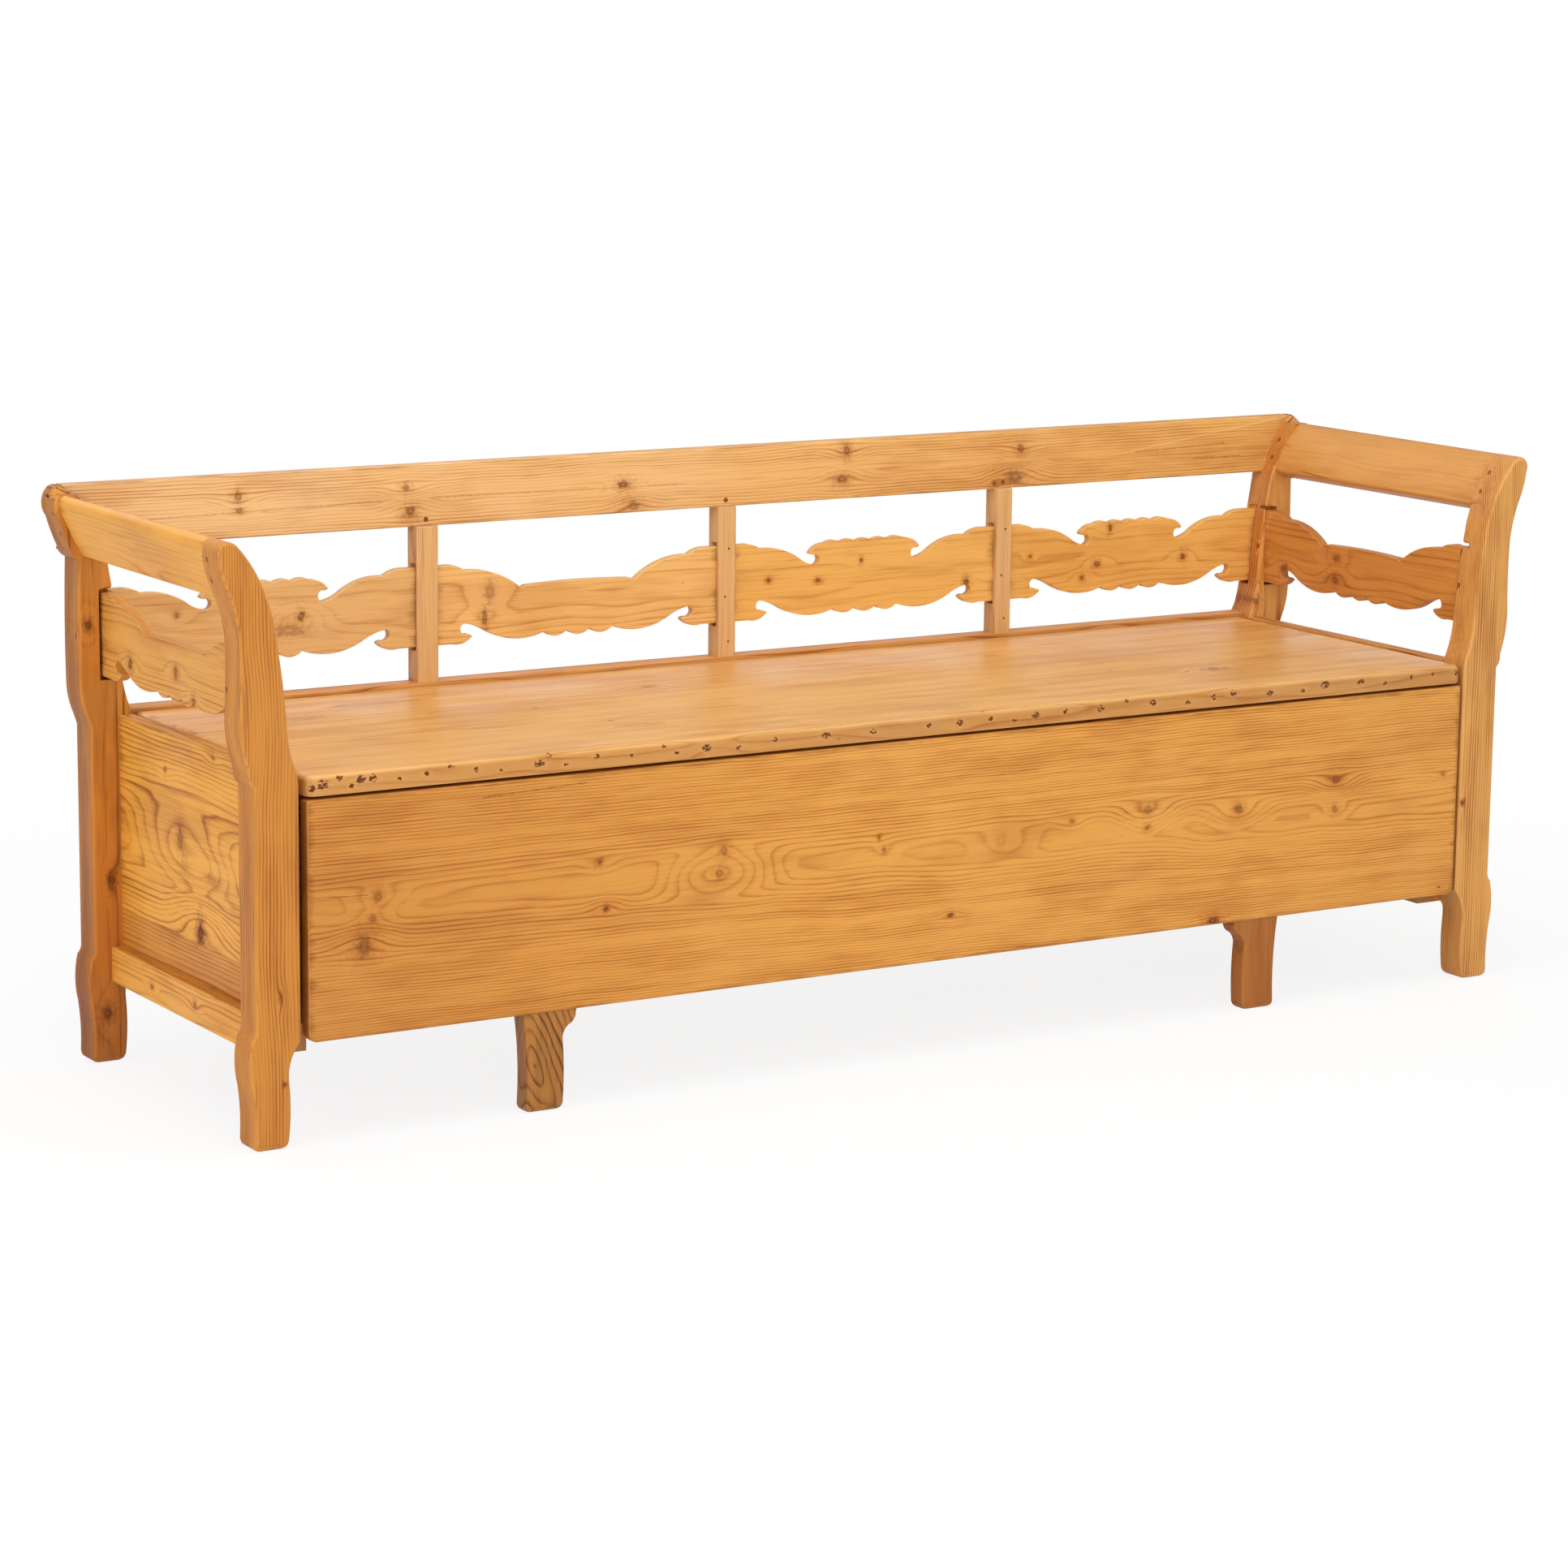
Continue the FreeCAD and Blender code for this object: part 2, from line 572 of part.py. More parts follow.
def splat_outline(head, centre, half_length, low_end, high_end):
    """Closed outline of a splat: its pattern about a centre, run on straight to both ends."""
    foot = worth(SPLAT_FOOT)
    height = worth(SPLAT_HEIGHT)

    def placed(pieces):
        return [(kind, [(centre + across * half_length, foot + up * height) for across, up in points])
                for kind, points in pieces]

    outer, inner = FOOT_EDGE_SHARES
    foot_side = arcs(FOOT_SIDE_SHARES) + scallop(outer, inner, FOOT_CUSP_SHARE, FOOT_CREST_SHARE)
    over_middle, head_side = head
    right_head = placed(head_side)
    right_foot = placed(foot_side)
    left_foot = placed(mirrored(foot_side))
    left_head = placed(mirrored(head_side))
    right_end = [right_head[-1][1][-1], (high_end, foot + height), (high_end, foot), right_foot[0][1][0]]
    left_end = [left_foot[-1][1][-1], (low_end, foot), (low_end, foot + height), left_head[0][1][0]]
    under_middle = scallop(inner, -inner, FOOT_CUSP_SHARE, FOOT_CREST_SHARE)
    return (
        placed(over_middle) + right_head + lines(right_end) + right_foot
        + placed(under_middle) + left_foot + lines(left_end) + left_head)


POST_SPLAT_EDGE = f"({POST_INNER} + post_width * {SPLAT_EDGE_SHARE})"
POST_SPLAT_END = f"({POST_INNER} + splat_post_reach)"
# back splats: head, left and right edge of the opening, left and right end of the board
BACK_SPLATS = (
    (block_head, f"-{POST_SPLAT_EDGE}", f"-{BAY_PITCH} - plain_stile_width / 2",
     f"-{POST_SPLAT_END}", f"-{BAY_PITCH} - plain_stile_width / 2 + splat_housing"),
    (plain_head, f"-{BAY_PITCH} + plain_stile_width / 2", "-stile_width / 2",
     f"-{BAY_PITCH} + plain_stile_width / 2 - splat_housing", "-stile_width / 2 + splat_housing"),
    (block_head, "stile_width / 2", f"{BAY_PITCH} - stile_width / 2",
     "stile_width / 2 - splat_housing", f"{BAY_PITCH} - stile_width / 2 + splat_housing"),
    (block_head, f"{BAY_PITCH} + stile_width / 2", POST_SPLAT_EDGE,
     f"{BAY_PITCH} + stile_width / 2 - splat_housing", POST_SPLAT_END),
)


def back_splat(number, head, left, right, low_end, high_end):
    """Fretted board of one bay of the back."""
    middle = (worth(left) + worth(right)) / 2
    half = worth(f"({BAY_PITCH} - stile_width) / 2 - splat_margin")
    shape = splat_outline(head(), middle, half, worth(low_end), worth(high_end))
    board = sawn(f"back_splat_{number}_board", "XZ_Plane", shape, "splat_thickness",
                 ("0", SPLAT_FRONT, "0"), backwards=True)
    keep(f"back_splat_{number}", board)


for number, splat_values in enumerate(BACK_SPLATS, start=1):
    back_splat(number, *splat_values)
for side_name, side in SIDES:
    housing = block(side_name + "_post_splat_housing",
                    (mirror_low(side, POST_INNER, "splat_post_reach"), STILE_FRONT, HOUSING_FOOT),
                    ("splat_post_reach", HOUSING_DEPTH, HOUSING_HEIGHT))
    into_posts("back", housing, (side,))


# Arms, in shares of post width and of the height of the front posts above the seat

# outer edge of an arm rail from its foot to its crest
ARM_OUTER_SHARES = [
    (1.080, 0.720), (1.387, 0.838), (1.595, 0.938), (1.605, 0.978), (1.516, 1.000),
]
# centre line of its slanting tenon
ARM_TENON_SHARES = [(0.952, 0.780), (1.340, 0.945)]
ARM_PEG_SHARES = (0.827, 0.917)
SPLAT_PEG_SHARE = 0.5
arm_pegs = []
arm_splat_pegs = []


def arm_section():
    """Right arm rail seen from the front: its inner face runs on from the posts."""
    outer = post_points(ARM_OUTER_SHARES, worth("seat_height"), worth(ARM_ABOVE_SEAT))
    inner = post_points(INNER_HEAD_SHARES, worth("seat_height"), worth(ARM_ABOVE_SEAT))
    return arcs(outer) + arcs(inner) + lines([inner[-1], outer[0]])


def arm_tenon_section():
    """Slanting tenon of the right arm rail, seen from the front."""
    foot, head = post_points(ARM_TENON_SHARES, worth("seat_height"), worth(ARM_ABOVE_SEAT))
    rise = math.hypot(head[0] - foot[0], head[1] - foot[1])
    half = worth("tenon_thickness") / 2
    across = half * (head[1] - foot[1]) / rise
    down = half * (head[0] - foot[0]) / rise
    corners = [
        (foot[0] - across, foot[1] + down), (foot[0] + across, foot[1] - down),
        (head[0] + across, head[1] - down), (head[0] - across, head[1] + down),
    ]
    return lines(corners + corners[:1])


def post_peg(name, row, side, low_y, height):
    """Peg cut off level with both faces of a post, and the longer one that its hole is cut with."""
    length = "2 * post_width"
    place = (mirror_low(side, POST_INNER, length), low_y, height)
    whole = whittled(name + "_blank", PEG_SIDES, "peg_radius", length, place, (1, 0, 0))
    into_posts(row, whole, (side,))
    return common(name, whole, blanks[row, side]), whole


def arm_rail(side_name, side):
    """Arm rest between the heads of a front and a back post."""
    label = side_name + "_arm_rail"
    section = arm_section() if side > 0 else mirrored(arm_section())
    tenon_section = arm_tenon_section() if side > 0 else mirrored(arm_tenon_section())
    bar = sawn(label + "_bar", "XZ_Plane", section, BETWEEN_POSTS,
               ("0", FRONT_POST_BACK, "0"), backwards=True)
    tenon = sawn(label + "_tenon", "XZ_Plane", tenon_section, BETWEEN_POSTS + " + 2 * tenon_length",
                 ("0", FRONT_POST_BACK + " - tenon_length", "0"), backwards=True)
    peg_rows = (
        ("front", FRONT_POST_BACK + " - tenon_length / 2"),
        ("back", BACK_POST_FRONT + " + tenon_length / 2"))
    holes = []
    for row, low_y in peg_rows:
        into_posts(row, tenon, (side,))
        for i, share in enumerate(ARM_PEG_SHARES, start=1):
            height = f"seat_height + {ARM_ABOVE_SEAT} * {share}"
            peg, hole = post_peg(f"{label}_{row}_peg_{i}", row, side, low_y, height)
            arm_pegs.append(peg)
            holes.append(hole)
    keep(label, cut(label + "_pegged", joined(label + "_whole", bar, tenon), *holes))


def arm_splat(side_name, side):
    """Fretted board between the posts under an arm rest, housed in both."""
    label = side_name + "_arm_splat"
    half = worth(BETWEEN_POSTS + " / 2")
    reach = half + worth("arm_splat_housing")
    inner_x = "length / 2 - arm_splat_inset - arm_splat_thickness"
    low_x = mirror_low(side, inner_x, "arm_splat_thickness")
    shape = splat_outline(plain_head(), 0, half, -reach, reach)
    board = sawn(label + "_board", "YZ_Plane", shape, "arm_splat_thickness", (low_x, "0", "0"))
    slot_width = "(arm_splat_thickness + arm_splat_slot)"
    grooves = (
        ("front", FRONT_POST_BACK + " - arm_splat_housing", "arm_splat_thickness"),
        ("back", BACK_POST_FRONT, slot_width))
    holes = []
    for row, low_y, width in grooves:
        groove = block(f"{label}_{row}_groove", (mirror_low(side, inner_x, width), low_y, HOUSING_FOOT),
                       (width, "arm_splat_housing", HOUSING_HEIGHT))
        into_posts(row, groove, (side,))
        peg, hole = post_peg(f"{label}_{row}_peg", row, side, low_y + " + arm_splat_housing / 2",
                             f"{SPLAT_FOOT} + {SPLAT_HEIGHT} * {SPLAT_PEG_SHARE}")
        arm_splat_pegs.append(peg)
        holes.append(hole)
    keep(label, cut(label + "_pegged", board, *holes))


for side_name, side in SIDES:
    arm_rail(side_name, side)
    arm_splat(side_name, side)
keep("arm_rail_pegs", group("arm_rail_peg_group", *arm_pegs))
keep("arm_splat_pegs", group("arm_splat_peg_group", *arm_splat_pegs))


# Closed ends

END_BOARD_HEAD = "(seat_height + end_board_rise)"
END_RAIL_WIDTH = "(post_width - end_rail_inset)"


def end_board(label, side, foot, head, tongue_foot, tongue_head):
    """Board of a closed end, tongued into both posts and its neighbours."""
    tongue_x = f"{POST_INNER} + (end_board_thickness - tongue_thickness) / 2"
    return tongued_board(
        label,
        (mirror_low(side, POST_INNER, "end_board_thickness"), FRONT_POST_BACK, foot),
        ("end_board_thickness", BETWEEN_POSTS, f"{head} - {foot}"),
        (mirror_low(side, tongue_x, "tongue_thickness"), FRONT_POST_BACK + " - tongue_length", tongue_foot),
        ("tongue_thickness", BETWEEN_POSTS + " + 2 * tongue_length", f"({tongue_head}) - ({tongue_foot})"))


def end_rail(label, side):
    """Bottom rail of an end, and its tenon."""
    low_x = mirror_low(side, POST_INNER, END_RAIL_WIDTH)
    rail = block(label + "_bar", (low_x, FRONT_POST_BACK, "end_rail_foot"),
                 (END_RAIL_WIDTH, BETWEEN_POSTS, "end_rail_head - end_rail_foot"))
    tenon_x = f"{POST_INNER} + 1.5 * tenon_thickness"
    tenon = block(label + "_tenon",
                  (mirror_low(side, tenon_x, "tenon_thickness"), FRONT_POST_BACK + " - tenon_length",
                   "end_rail_foot + tenon_shoulder"),
                  ("tenon_thickness", BETWEEN_POSTS + " + 2 * tenon_length",
                   "end_rail_head - end_rail_foot - 2 * tenon_shoulder"))
    return joined(label + "_whole", rail, tenon), tenon


def closed_end(side_name, side):
    """Two boards and a rail that close one end of the box."""
    label = side_name + "_end_"
    lower, lower_tongue = end_board(
        label + "lower_board", side, "end_rail_head", "end_board_joint",
        "end_rail_head - tongue_length", "end_board_joint + tongue_length")
    upper, upper_tongue = end_board(
        label + "upper_board", side, "end_board_joint", END_BOARD_HEAD,
        "end_board_joint", END_BOARD_HEAD + " - tongue_length")
    rail, tenon = end_rail(label + "rail", side)
    for row in ("front", "back"):
        for tool in (lower_tongue, upper_tongue, tenon):
            into_posts(row, tool, (side,))
    keep(label + "lower_board", lower)
    keep(label + "upper_board", cut(label + "upper_board_grooved", upper, lower_tongue))
    keep(label + "rail", cut(label + "rail_grooved", rail, lower_tongue))


for side_name, side in SIDES:
    closed_end(side_name, side)


# Inside of the box

CROSS_HALF = f"({POST_INNER} - cross_rail_gap)"
CROSS_FRONT = BOARD_BACK + " + cleat_width + running_gap"
REAR_CLEAT_FRONT = LEDGE_FRONT + " - cleat_width"
LID_CLEAT_FOOT = LID_UNDERSIDE + " - lid_cleat_height"
MIDDLE_SLAT = (FIXED_SLATS + MOVING_SLATS - 1) // 2
SLAT_PITCH = f"(({CROSS_HALF} - slat_margin - slat_width / 2) / {MIDDLE_SLAT})"


def runner(side_name, side, stub):
    """Runner that carries one side of the drawer."""
    low_x = mirror_low(side, POST_INNER + " - runner_width", "runner_width")
    bar = block(side_name + "_runner_bar", (low_x, FRONT_POST_BACK, "end_rail_foot"),
                ("runner_width", BETWEEN_POSTS, "runner_head - end_rail_foot"))
    keep(side_name + "_runner", cut(side_name + "_runner_mortised", bar, stub))


def cross_rail():
    """Rail under the front ends of the fixed slats, with stub tenons for the runners."""
    foot = "slat_bed - cross_rail_height"
    bar = block("cross_rail_bar", (f"-{CROSS_HALF}", CROSS_FRONT, foot),
                (f"2 * {CROSS_HALF}", "cross_rail_width", "cross_rail_height"))
    stub_half = f"({POST_INNER} - runner_width + tenon_thickness)"
    stub = block("cross_rail_stub", (f"-{stub_half}", CROSS_FRONT, foot + " + stub_shoulder"),
                 (f"2 * {stub_half}", "cross_rail_width", "tenon_thickness"))
    keep("front_cross_rail", joined("cross_rail_whole", bar, stub))
    return stub


def slats(label, first, count, low_y, length):
    """Every other slat of the bed, from the first on."""
    strips = []
    for i in range(count):
        place = first + 2 * i - MIDDLE_SLAT
        low = (f"{place} * {SLAT_PITCH} - slat_width / 2", low_y, "slat_bed")
        strips.append(block(f"{label}_{i + 1}", low, ("slat_width", length, "slat_thickness")))
    return group(label + "_group", *strips)


def cleats(side_name, side):
    """Cleat on the end boards under the lid."""
    low_x = mirror_low(side, POST_INNER + " - cleat_width", "cleat_width")
    keep(side_name + "_lid_cleat",
         block(side_name + "_lid_cleat_bar", (low_x, FRONT_POST_BACK + " + running_gap", LID_CLEAT_FOOT),
               ("cleat_width", BETWEEN_POSTS + " - 2 * running_gap", "lid_cleat_height")))


def rear_cleat(label, foot, height):
    """Cleat along the rails of the back."""
    keep(label, block(label + "_bar", (f"-{CROSS_HALF}", REAR_CLEAT_FRONT, foot),
                      (f"2 * {CROSS_HALF}", "cleat_width", height)))


stub = cross_rail()
for side_name, side in SIDES:
    runner(side_name, side, stub)
    cleats(side_name, side)
rear_cleat("slat_cleat", "slat_bed - cleat_width", "cleat_width")
rear_cleat("back_lid_cleat", LID_CLEAT_FOOT, "lid_cleat_height")
keep("fixed_slats", slats("fixed_slat", 0, FIXED_SLATS, CROSS_FRONT, f"{LEDGE_FRONT} - ({CROSS_FRONT})"))


# Drawer

DRAWER_BACK = LEDGE_FRONT + " - cleat_width - running_gap"
DRAWER_INNER_LOW = f"box_offset - {FRONT_HALF} + side_board_inset + side_board_thickness"
DRAWER_INNER_WIDTH = f"2 * ({FRONT_HALF} - side_board_inset - side_board_thickness)"
# bracket side of a leg from the front board down, as shares of leg width and of the height below the board
LEG_BRACKET_SHARES = [
    (0.840, 1.000), (0.810, 0.891), (0.660, 0.842), (0.535, 0.782), (0.505, 0.677), (0.530, 0.338),
    (0.485, 0.000),
]
LEG_OUTER_SHARES = [(-0.536, 0.000), (-0.505, 0.526), (-0.607, 1.000)]


def front_board():
    """Wide board of the drawer front with its worn lower corners."""
    low = worth(f"box_offset - {FRONT_HALF}")
    high = worth(f"box_offset + {FRONT_HALF}")
    foot = worth("front_foot")
    head = worth(LID_UNDERSIDE + " - lid_gap")
    turn = worth("front_corner")
    mid = turn * (1 - HALF_TURN_SHARE)
    right_turn = [(high - turn, foot), (high - mid, foot + mid), (high, foot + turn)]
    left_turn = [(low, foot + turn), (low + mid, foot + mid), (low + turn, foot)]
    outline = (
        arcs(right_turn) + lines([right_turn[-1], (high, head), (low, head), left_turn[0]])
        + arcs(left_turn) + lines([left_turn[-1], right_turn[0]]))
    return sawn("front_board", "XZ_Plane", outline, "front_thickness", ("0", BOX_FRONT, "0"), backwards=True)


def drawer_leg(side_name, side):
    """Sawn leg whose upper half runs up behind the front board, and that upper half."""
    width = worth("leg_width")
    foot = worth("front_foot")
    bracket = [(across * width, up * foot) for across, up in LEG_BRACKET_SHARES]
    outer = [(across * width, up * foot) for across, up in LEG_OUTER_SHARES]
    outline = arcs(bracket) + lines([bracket[-1], outer[0]]) + arcs(outer) + lines([outer[-1], bracket[0]])
    if side > 0:
        outline = mirrored(outline)
    centre = f"{side} * ({FRONT_HALF} - leg_inset) - leg_offset"
    low = sawn(side_name + "_leg_foot", "XZ_Plane", outline, "leg_depth",
               (centre, BOX_FRONT + " + leg_setback", "0"), backwards=True)
    tongue = block(side_name + "_leg_tongue", (centre + " - leg_tongue_width / 2", BOARD_BACK, "front_foot"),
                   ("leg_tongue_width", "leg_setback + leg_depth - front_thickness", "leg_tongue"))
    keep(side_name + "_drawer_leg", joined(side_name + "_leg_whole", low, tongue))
    return tongue


def drawer_side(side_name, side):
    """Side board that slides on the runner."""
    outer = f"box_offset + {side} * ({FRONT_HALF} - side_board_inset)"
    low_x = f"{outer} - side_board_thickness" if side > 0 else outer
    keep(side_name + "_drawer_side",
         block(side_name + "_side_board", (low_x, BOARD_BACK, "runner_head"),
               ("side_board_thickness", f"{DRAWER_BACK} - ({BOARD_BACK})",
                LID_UNDERSIDE + " - side_board_drop - runner_head")))


keep("drawer_front", front_board())
leg_tongues = [drawer_leg(side_name, side) for side_name, side in SIDES]
for side_name, side in SIDES:
    drawer_side(side_name, side)
front_cleat = block("front_cleat_bar", (DRAWER_INNER_LOW, BOARD_BACK, "slat_bed - cleat_width"),
                    (DRAWER_INNER_WIDTH, "cleat_width", "cleat_width"))
keep("drawer_front_cleat", cut("front_cleat_pieces", front_cleat, *leg_tongues))
keep("rear_batten",
     block("rear_batten_bar",
           (DRAWER_INNER_LOW, DRAWER_BACK + " - rear_batten_width", "slat_bed - rear_batten_height"),
           (DRAWER_INNER_WIDTH, "rear_batten_width", "rear_batten_height")))
moving_strips = slats("moving_slat", 1, MOVING_SLATS, BOARD_BACK, f"{DRAWER_BACK} - ({BOARD_BACK})")
keep("moving_slats", cut("moving_slats_notched", moving_strips, *leg_tongues))


# Lid

LID_HALF = "(length / 2 - post_width - lid_end_gap)"
LID_JOINT_Y = BOX_FRONT + " + lid_joint"
LID_BACK = LEDGE_FRONT + " - lid_back_gap"


def worn_edge(edge):
    """Whether an edge lies along the top of a lid board, but not along a joint or the back."""
    box = edge.BoundBox
    along_bench = box.XLength > box.YLength
    at_front = box.YMin < worth(BOX_FRONT) + worth("lid_corner") / 2
    return box.ZMin > worth("lid_thickness") / 2 and (at_front or not along_bench)


def lid_board(label, front, back, turn):
    """Board of the lid, with its front corners rounded to a radius that may be zero."""
    low = worth(f"box_offset - {LID_HALF}")
    high = worth(f"box_offset + {LID_HALF}")
    mid = turn * (1 - HALF_TURN_SHARE)
    right_turn = [(high - turn, front), (high - mid, front + mid), (high, front + turn)]
    left_turn = [(low, front + turn), (low + mid, front + mid), (low + turn, front)]
    outline = lines([right_turn[-1], (high, back), (low, back), left_turn[0]])
    outline += arcs(left_turn) if turn else []
    outline += lines([left_turn[-1], right_turn[0]])
    outline += arcs(right_turn) if turn else []
    board = sawn(label + "_plank", "XY_Plane", outline, "lid_thickness", ("0", "0", LID_UNDERSIDE))
    keep(label, soften(board, "lid_round", worn_edge))


def lid_batten(place_name, place):
    """Batten across the boards of the lid."""
    low_x = f"box_offset * {abs(place)} + {place} * ({LID_HALF} - lid_batten_end) - lid_batten_width / 2"
    low_y = BOX_FRONT + " + lid_batten_inset"
    keep("lid_batten_" + place_name,
         block(place_name + "_batten_bar", (low_x, low_y, LID_UNDERSIDE + " - lid_batten_thickness"),
               ("lid_batten_width", f"{REAR_CLEAT_FRONT} - running_gap - ({low_y})", "lid_batten_thickness")))


lid_board("lid_front_board", worth(BOX_FRONT), worth(LID_JOINT_Y), worth("lid_corner"))
lid_board("lid_back_board", worth(LID_JOINT_Y), worth(LID_BACK), 0)
for place_name, place in (("left", -1), ("middle", 0), ("right", 1)):
    lid_batten(place_name, place)


# Posts with their joints

for (row, side), blank in blanks.items():
    side_name = "right" if side > 0 else "left"
    keep(f"{row}_{side_name}_post", cut(f"{row}_{side_name}_jointed", blank, *post_joints[row, side]))


# Check and export

doc.recompute()
for thing in doc.Objects:
    if {"Invalid", "Error"} & set(thing.State):
        raise RuntimeError(f"{thing.Name} could not be built: {thing.State}")
for label, thing in nodes.items():
    if thing.Shape.isNull() or not thing.Shape.isValid():
        raise RuntimeError(f"{label} has no valid shape")
os.makedirs("parts", exist_ok=True)
for label, thing in nodes.items():
    thing.Shape.exportStep(f"parts/{label}.step")
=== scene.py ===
"""Looks of an old pine pull-out bench bed: waxed boards, worn arrises, knots and scars."""
import json
import math
import bmesh
import bpy
from mathutils import Matrix, Vector

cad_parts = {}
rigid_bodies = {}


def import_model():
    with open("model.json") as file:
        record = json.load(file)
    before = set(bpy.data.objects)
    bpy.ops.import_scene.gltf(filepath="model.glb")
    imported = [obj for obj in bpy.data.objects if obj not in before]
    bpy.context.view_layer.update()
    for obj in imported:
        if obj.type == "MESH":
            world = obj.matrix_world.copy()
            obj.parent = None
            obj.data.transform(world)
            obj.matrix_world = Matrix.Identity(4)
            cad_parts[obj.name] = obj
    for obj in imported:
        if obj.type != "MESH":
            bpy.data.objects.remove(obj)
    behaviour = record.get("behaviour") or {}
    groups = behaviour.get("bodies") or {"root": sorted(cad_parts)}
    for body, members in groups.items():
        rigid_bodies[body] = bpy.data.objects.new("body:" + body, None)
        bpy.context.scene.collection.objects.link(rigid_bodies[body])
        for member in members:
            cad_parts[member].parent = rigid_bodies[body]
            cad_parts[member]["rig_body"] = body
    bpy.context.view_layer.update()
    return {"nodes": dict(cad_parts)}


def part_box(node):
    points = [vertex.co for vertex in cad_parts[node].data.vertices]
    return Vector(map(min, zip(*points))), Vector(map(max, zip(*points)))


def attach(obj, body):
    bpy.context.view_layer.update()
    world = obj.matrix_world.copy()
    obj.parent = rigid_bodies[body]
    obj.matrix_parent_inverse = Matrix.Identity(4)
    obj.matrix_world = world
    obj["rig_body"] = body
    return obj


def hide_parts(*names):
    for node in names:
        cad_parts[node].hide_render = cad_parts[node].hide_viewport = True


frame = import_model()
nodes = frame["nodes"]
BOXES = {name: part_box(name) for name in nodes}


# Small helpers for nodes

SOCKET_KINDS = {"value": "NodeSocketFloat", "vector": "NodeSocketVector",
                "colour": "NodeSocketColor"}
MIX_SHARE, MIX_FIRST, MIX_SECOND, MIX_RESULT = 0, 6, 7, 2
# a screen's tone curve: end and slope of its straight part, offset and power of the rest
SCREEN_WHITE = 255.0
STRAIGHT_END, STRAIGHT_SLOPE, CURVE_OFFSET, CURVE_POWER = 0.04045, 12.92, 0.055, 2.4
WHITE = (1.0, 1.0, 1.0, 1.0)
NOISE_MEAN = 0.5


def tone(red, green, blue):
    """A colour from the 0 to 255 values of a screen."""
    linear = []
    for value in (red, green, blue):
        share = value / SCREEN_WHITE
        curved = ((share + CURVE_OFFSET) / (1.0 + CURVE_OFFSET)) ** CURVE_POWER
        linear.append(share / STRAIGHT_SLOPE if share <= STRAIGHT_END else curved)
    return (*linear, 1.0)


def put(tree, kind, **settings):
    """A new node with its settings."""
    made = tree.nodes.new(kind)
    for key, value in settings.items():
        setattr(made, key, value)
    return made


def feed(tree, socket, value):
    """Gives a socket a number, a colour or another socket's output."""
    if isinstance(value, bpy.types.NodeSocket):
        tree.links.new(value, socket)
    elif value is not None:
        socket.default_value = value


def calc(tree, operation, *values, clamp=False):
    """A Math node's result."""
    made = put(tree, "ShaderNodeMath", operation=operation, use_clamp=clamp)
    for socket, value in zip(made.inputs, values):
        feed(tree, socket, value)
    return made.outputs[0]


def vector_calc(tree, operation, *values):
    """A Vector Math node's result, which is a number for a length or a dot product."""
    made = put(tree, "ShaderNodeVectorMath", operation=operation)
    for socket, value in zip(made.inputs, values):
        feed(tree, socket, value)
    return made.outputs["Value" if operation in ("LENGTH", "DOT_PRODUCT") else "Vector"]


def scaled(tree, vector, share):
    """A vector made longer or shorter."""
    made = put(tree, "ShaderNodeVectorMath", operation="SCALE")
    feed(tree, made.inputs[0], vector)
    feed(tree, made.inputs["Scale"], share)
    return made.outputs[0]


def spread(tree, value, low, high, to_low=0.0, to_high=1.0, kind="SMOOTHSTEP"):
    """A value's range turned into another."""
    made = put(tree, "ShaderNodeMapRange", interpolation_type=kind)
    for key, number in (("Value", value), ("From Min", low), ("From Max", high),
                        ("To Min", to_low), ("To Max", to_high)):
        feed(tree, made.inputs[key], number)
    return made.outputs["Result"]


def blend(tree, share, first, second):
    """Two colours mixed."""
    made = put(tree, "ShaderNodeMix", data_type="RGBA", blend_type="MIX")
    feed(tree, made.inputs[MIX_SHARE], share)
    feed(tree, made.inputs[MIX_FIRST], first)
    feed(tree, made.inputs[MIX_SECOND], second)
    return made.outputs[MIX_RESULT]


def cloud(tree, where, scale, detail=2.0, roughness=0.5):
    """Noise between 0 and 1."""
    made = put(tree, "ShaderNodeTexNoise", noise_dimensions="3D")
    feed(tree, made.inputs["Vector"], where)
    feed(tree, made.inputs["Scale"], scale)
    feed(tree, made.inputs["Detail"], detail)
    feed(tree, made.inputs["Roughness"], roughness)
    return made.outputs["Fac"]


def stretched(tree, board, along, across):
    """A board's coordinates with their own scale along the grain and across it."""
    return vector_calc(tree, "MULTIPLY", board, (along, across, across))


def streaks(tree, board, waves, detail=1.0, roughness=0.5):
    """Noise drawn out along the grain, from its waves per metre along and across."""
    return cloud(tree, stretched(tree, board, *waves), 1.0, detail, roughness)


def parts_of(tree, vector):
    """The outputs X, Y and Z of a vector."""
    made = put(tree, "ShaderNodeSeparateXYZ")
    feed(tree, made.inputs[0], vector)
    return made.outputs


def new_group(name, takes, gives):
    """A node group whose sockets are named by kind, with its input and output sockets."""
    tree = bpy.data.node_groups.new(name, "ShaderNodeTree")
    for in_out, sockets in (("INPUT", takes), ("OUTPUT", gives)):
        for kind, labels in sockets.items():
            for label in labels:
                tree.interface.new_socket(label, in_out=in_out, socket_type=SOCKET_KINDS[kind])
    inlet, outlet = tree.nodes.new("NodeGroupInput"), tree.nodes.new("NodeGroupOutput")
    return tree, inlet.outputs, outlet.inputs


def use(tree, group, **values):
    """A group placed in a tree; underscores stand for the spaces in its socket names."""
    made = put(tree, "ShaderNodeGroup", node_tree=group)
    for key, value in values.items():
        feed(tree, made.inputs[key.replace("_", " ")], value)
    return made.outputs


# Growth rings

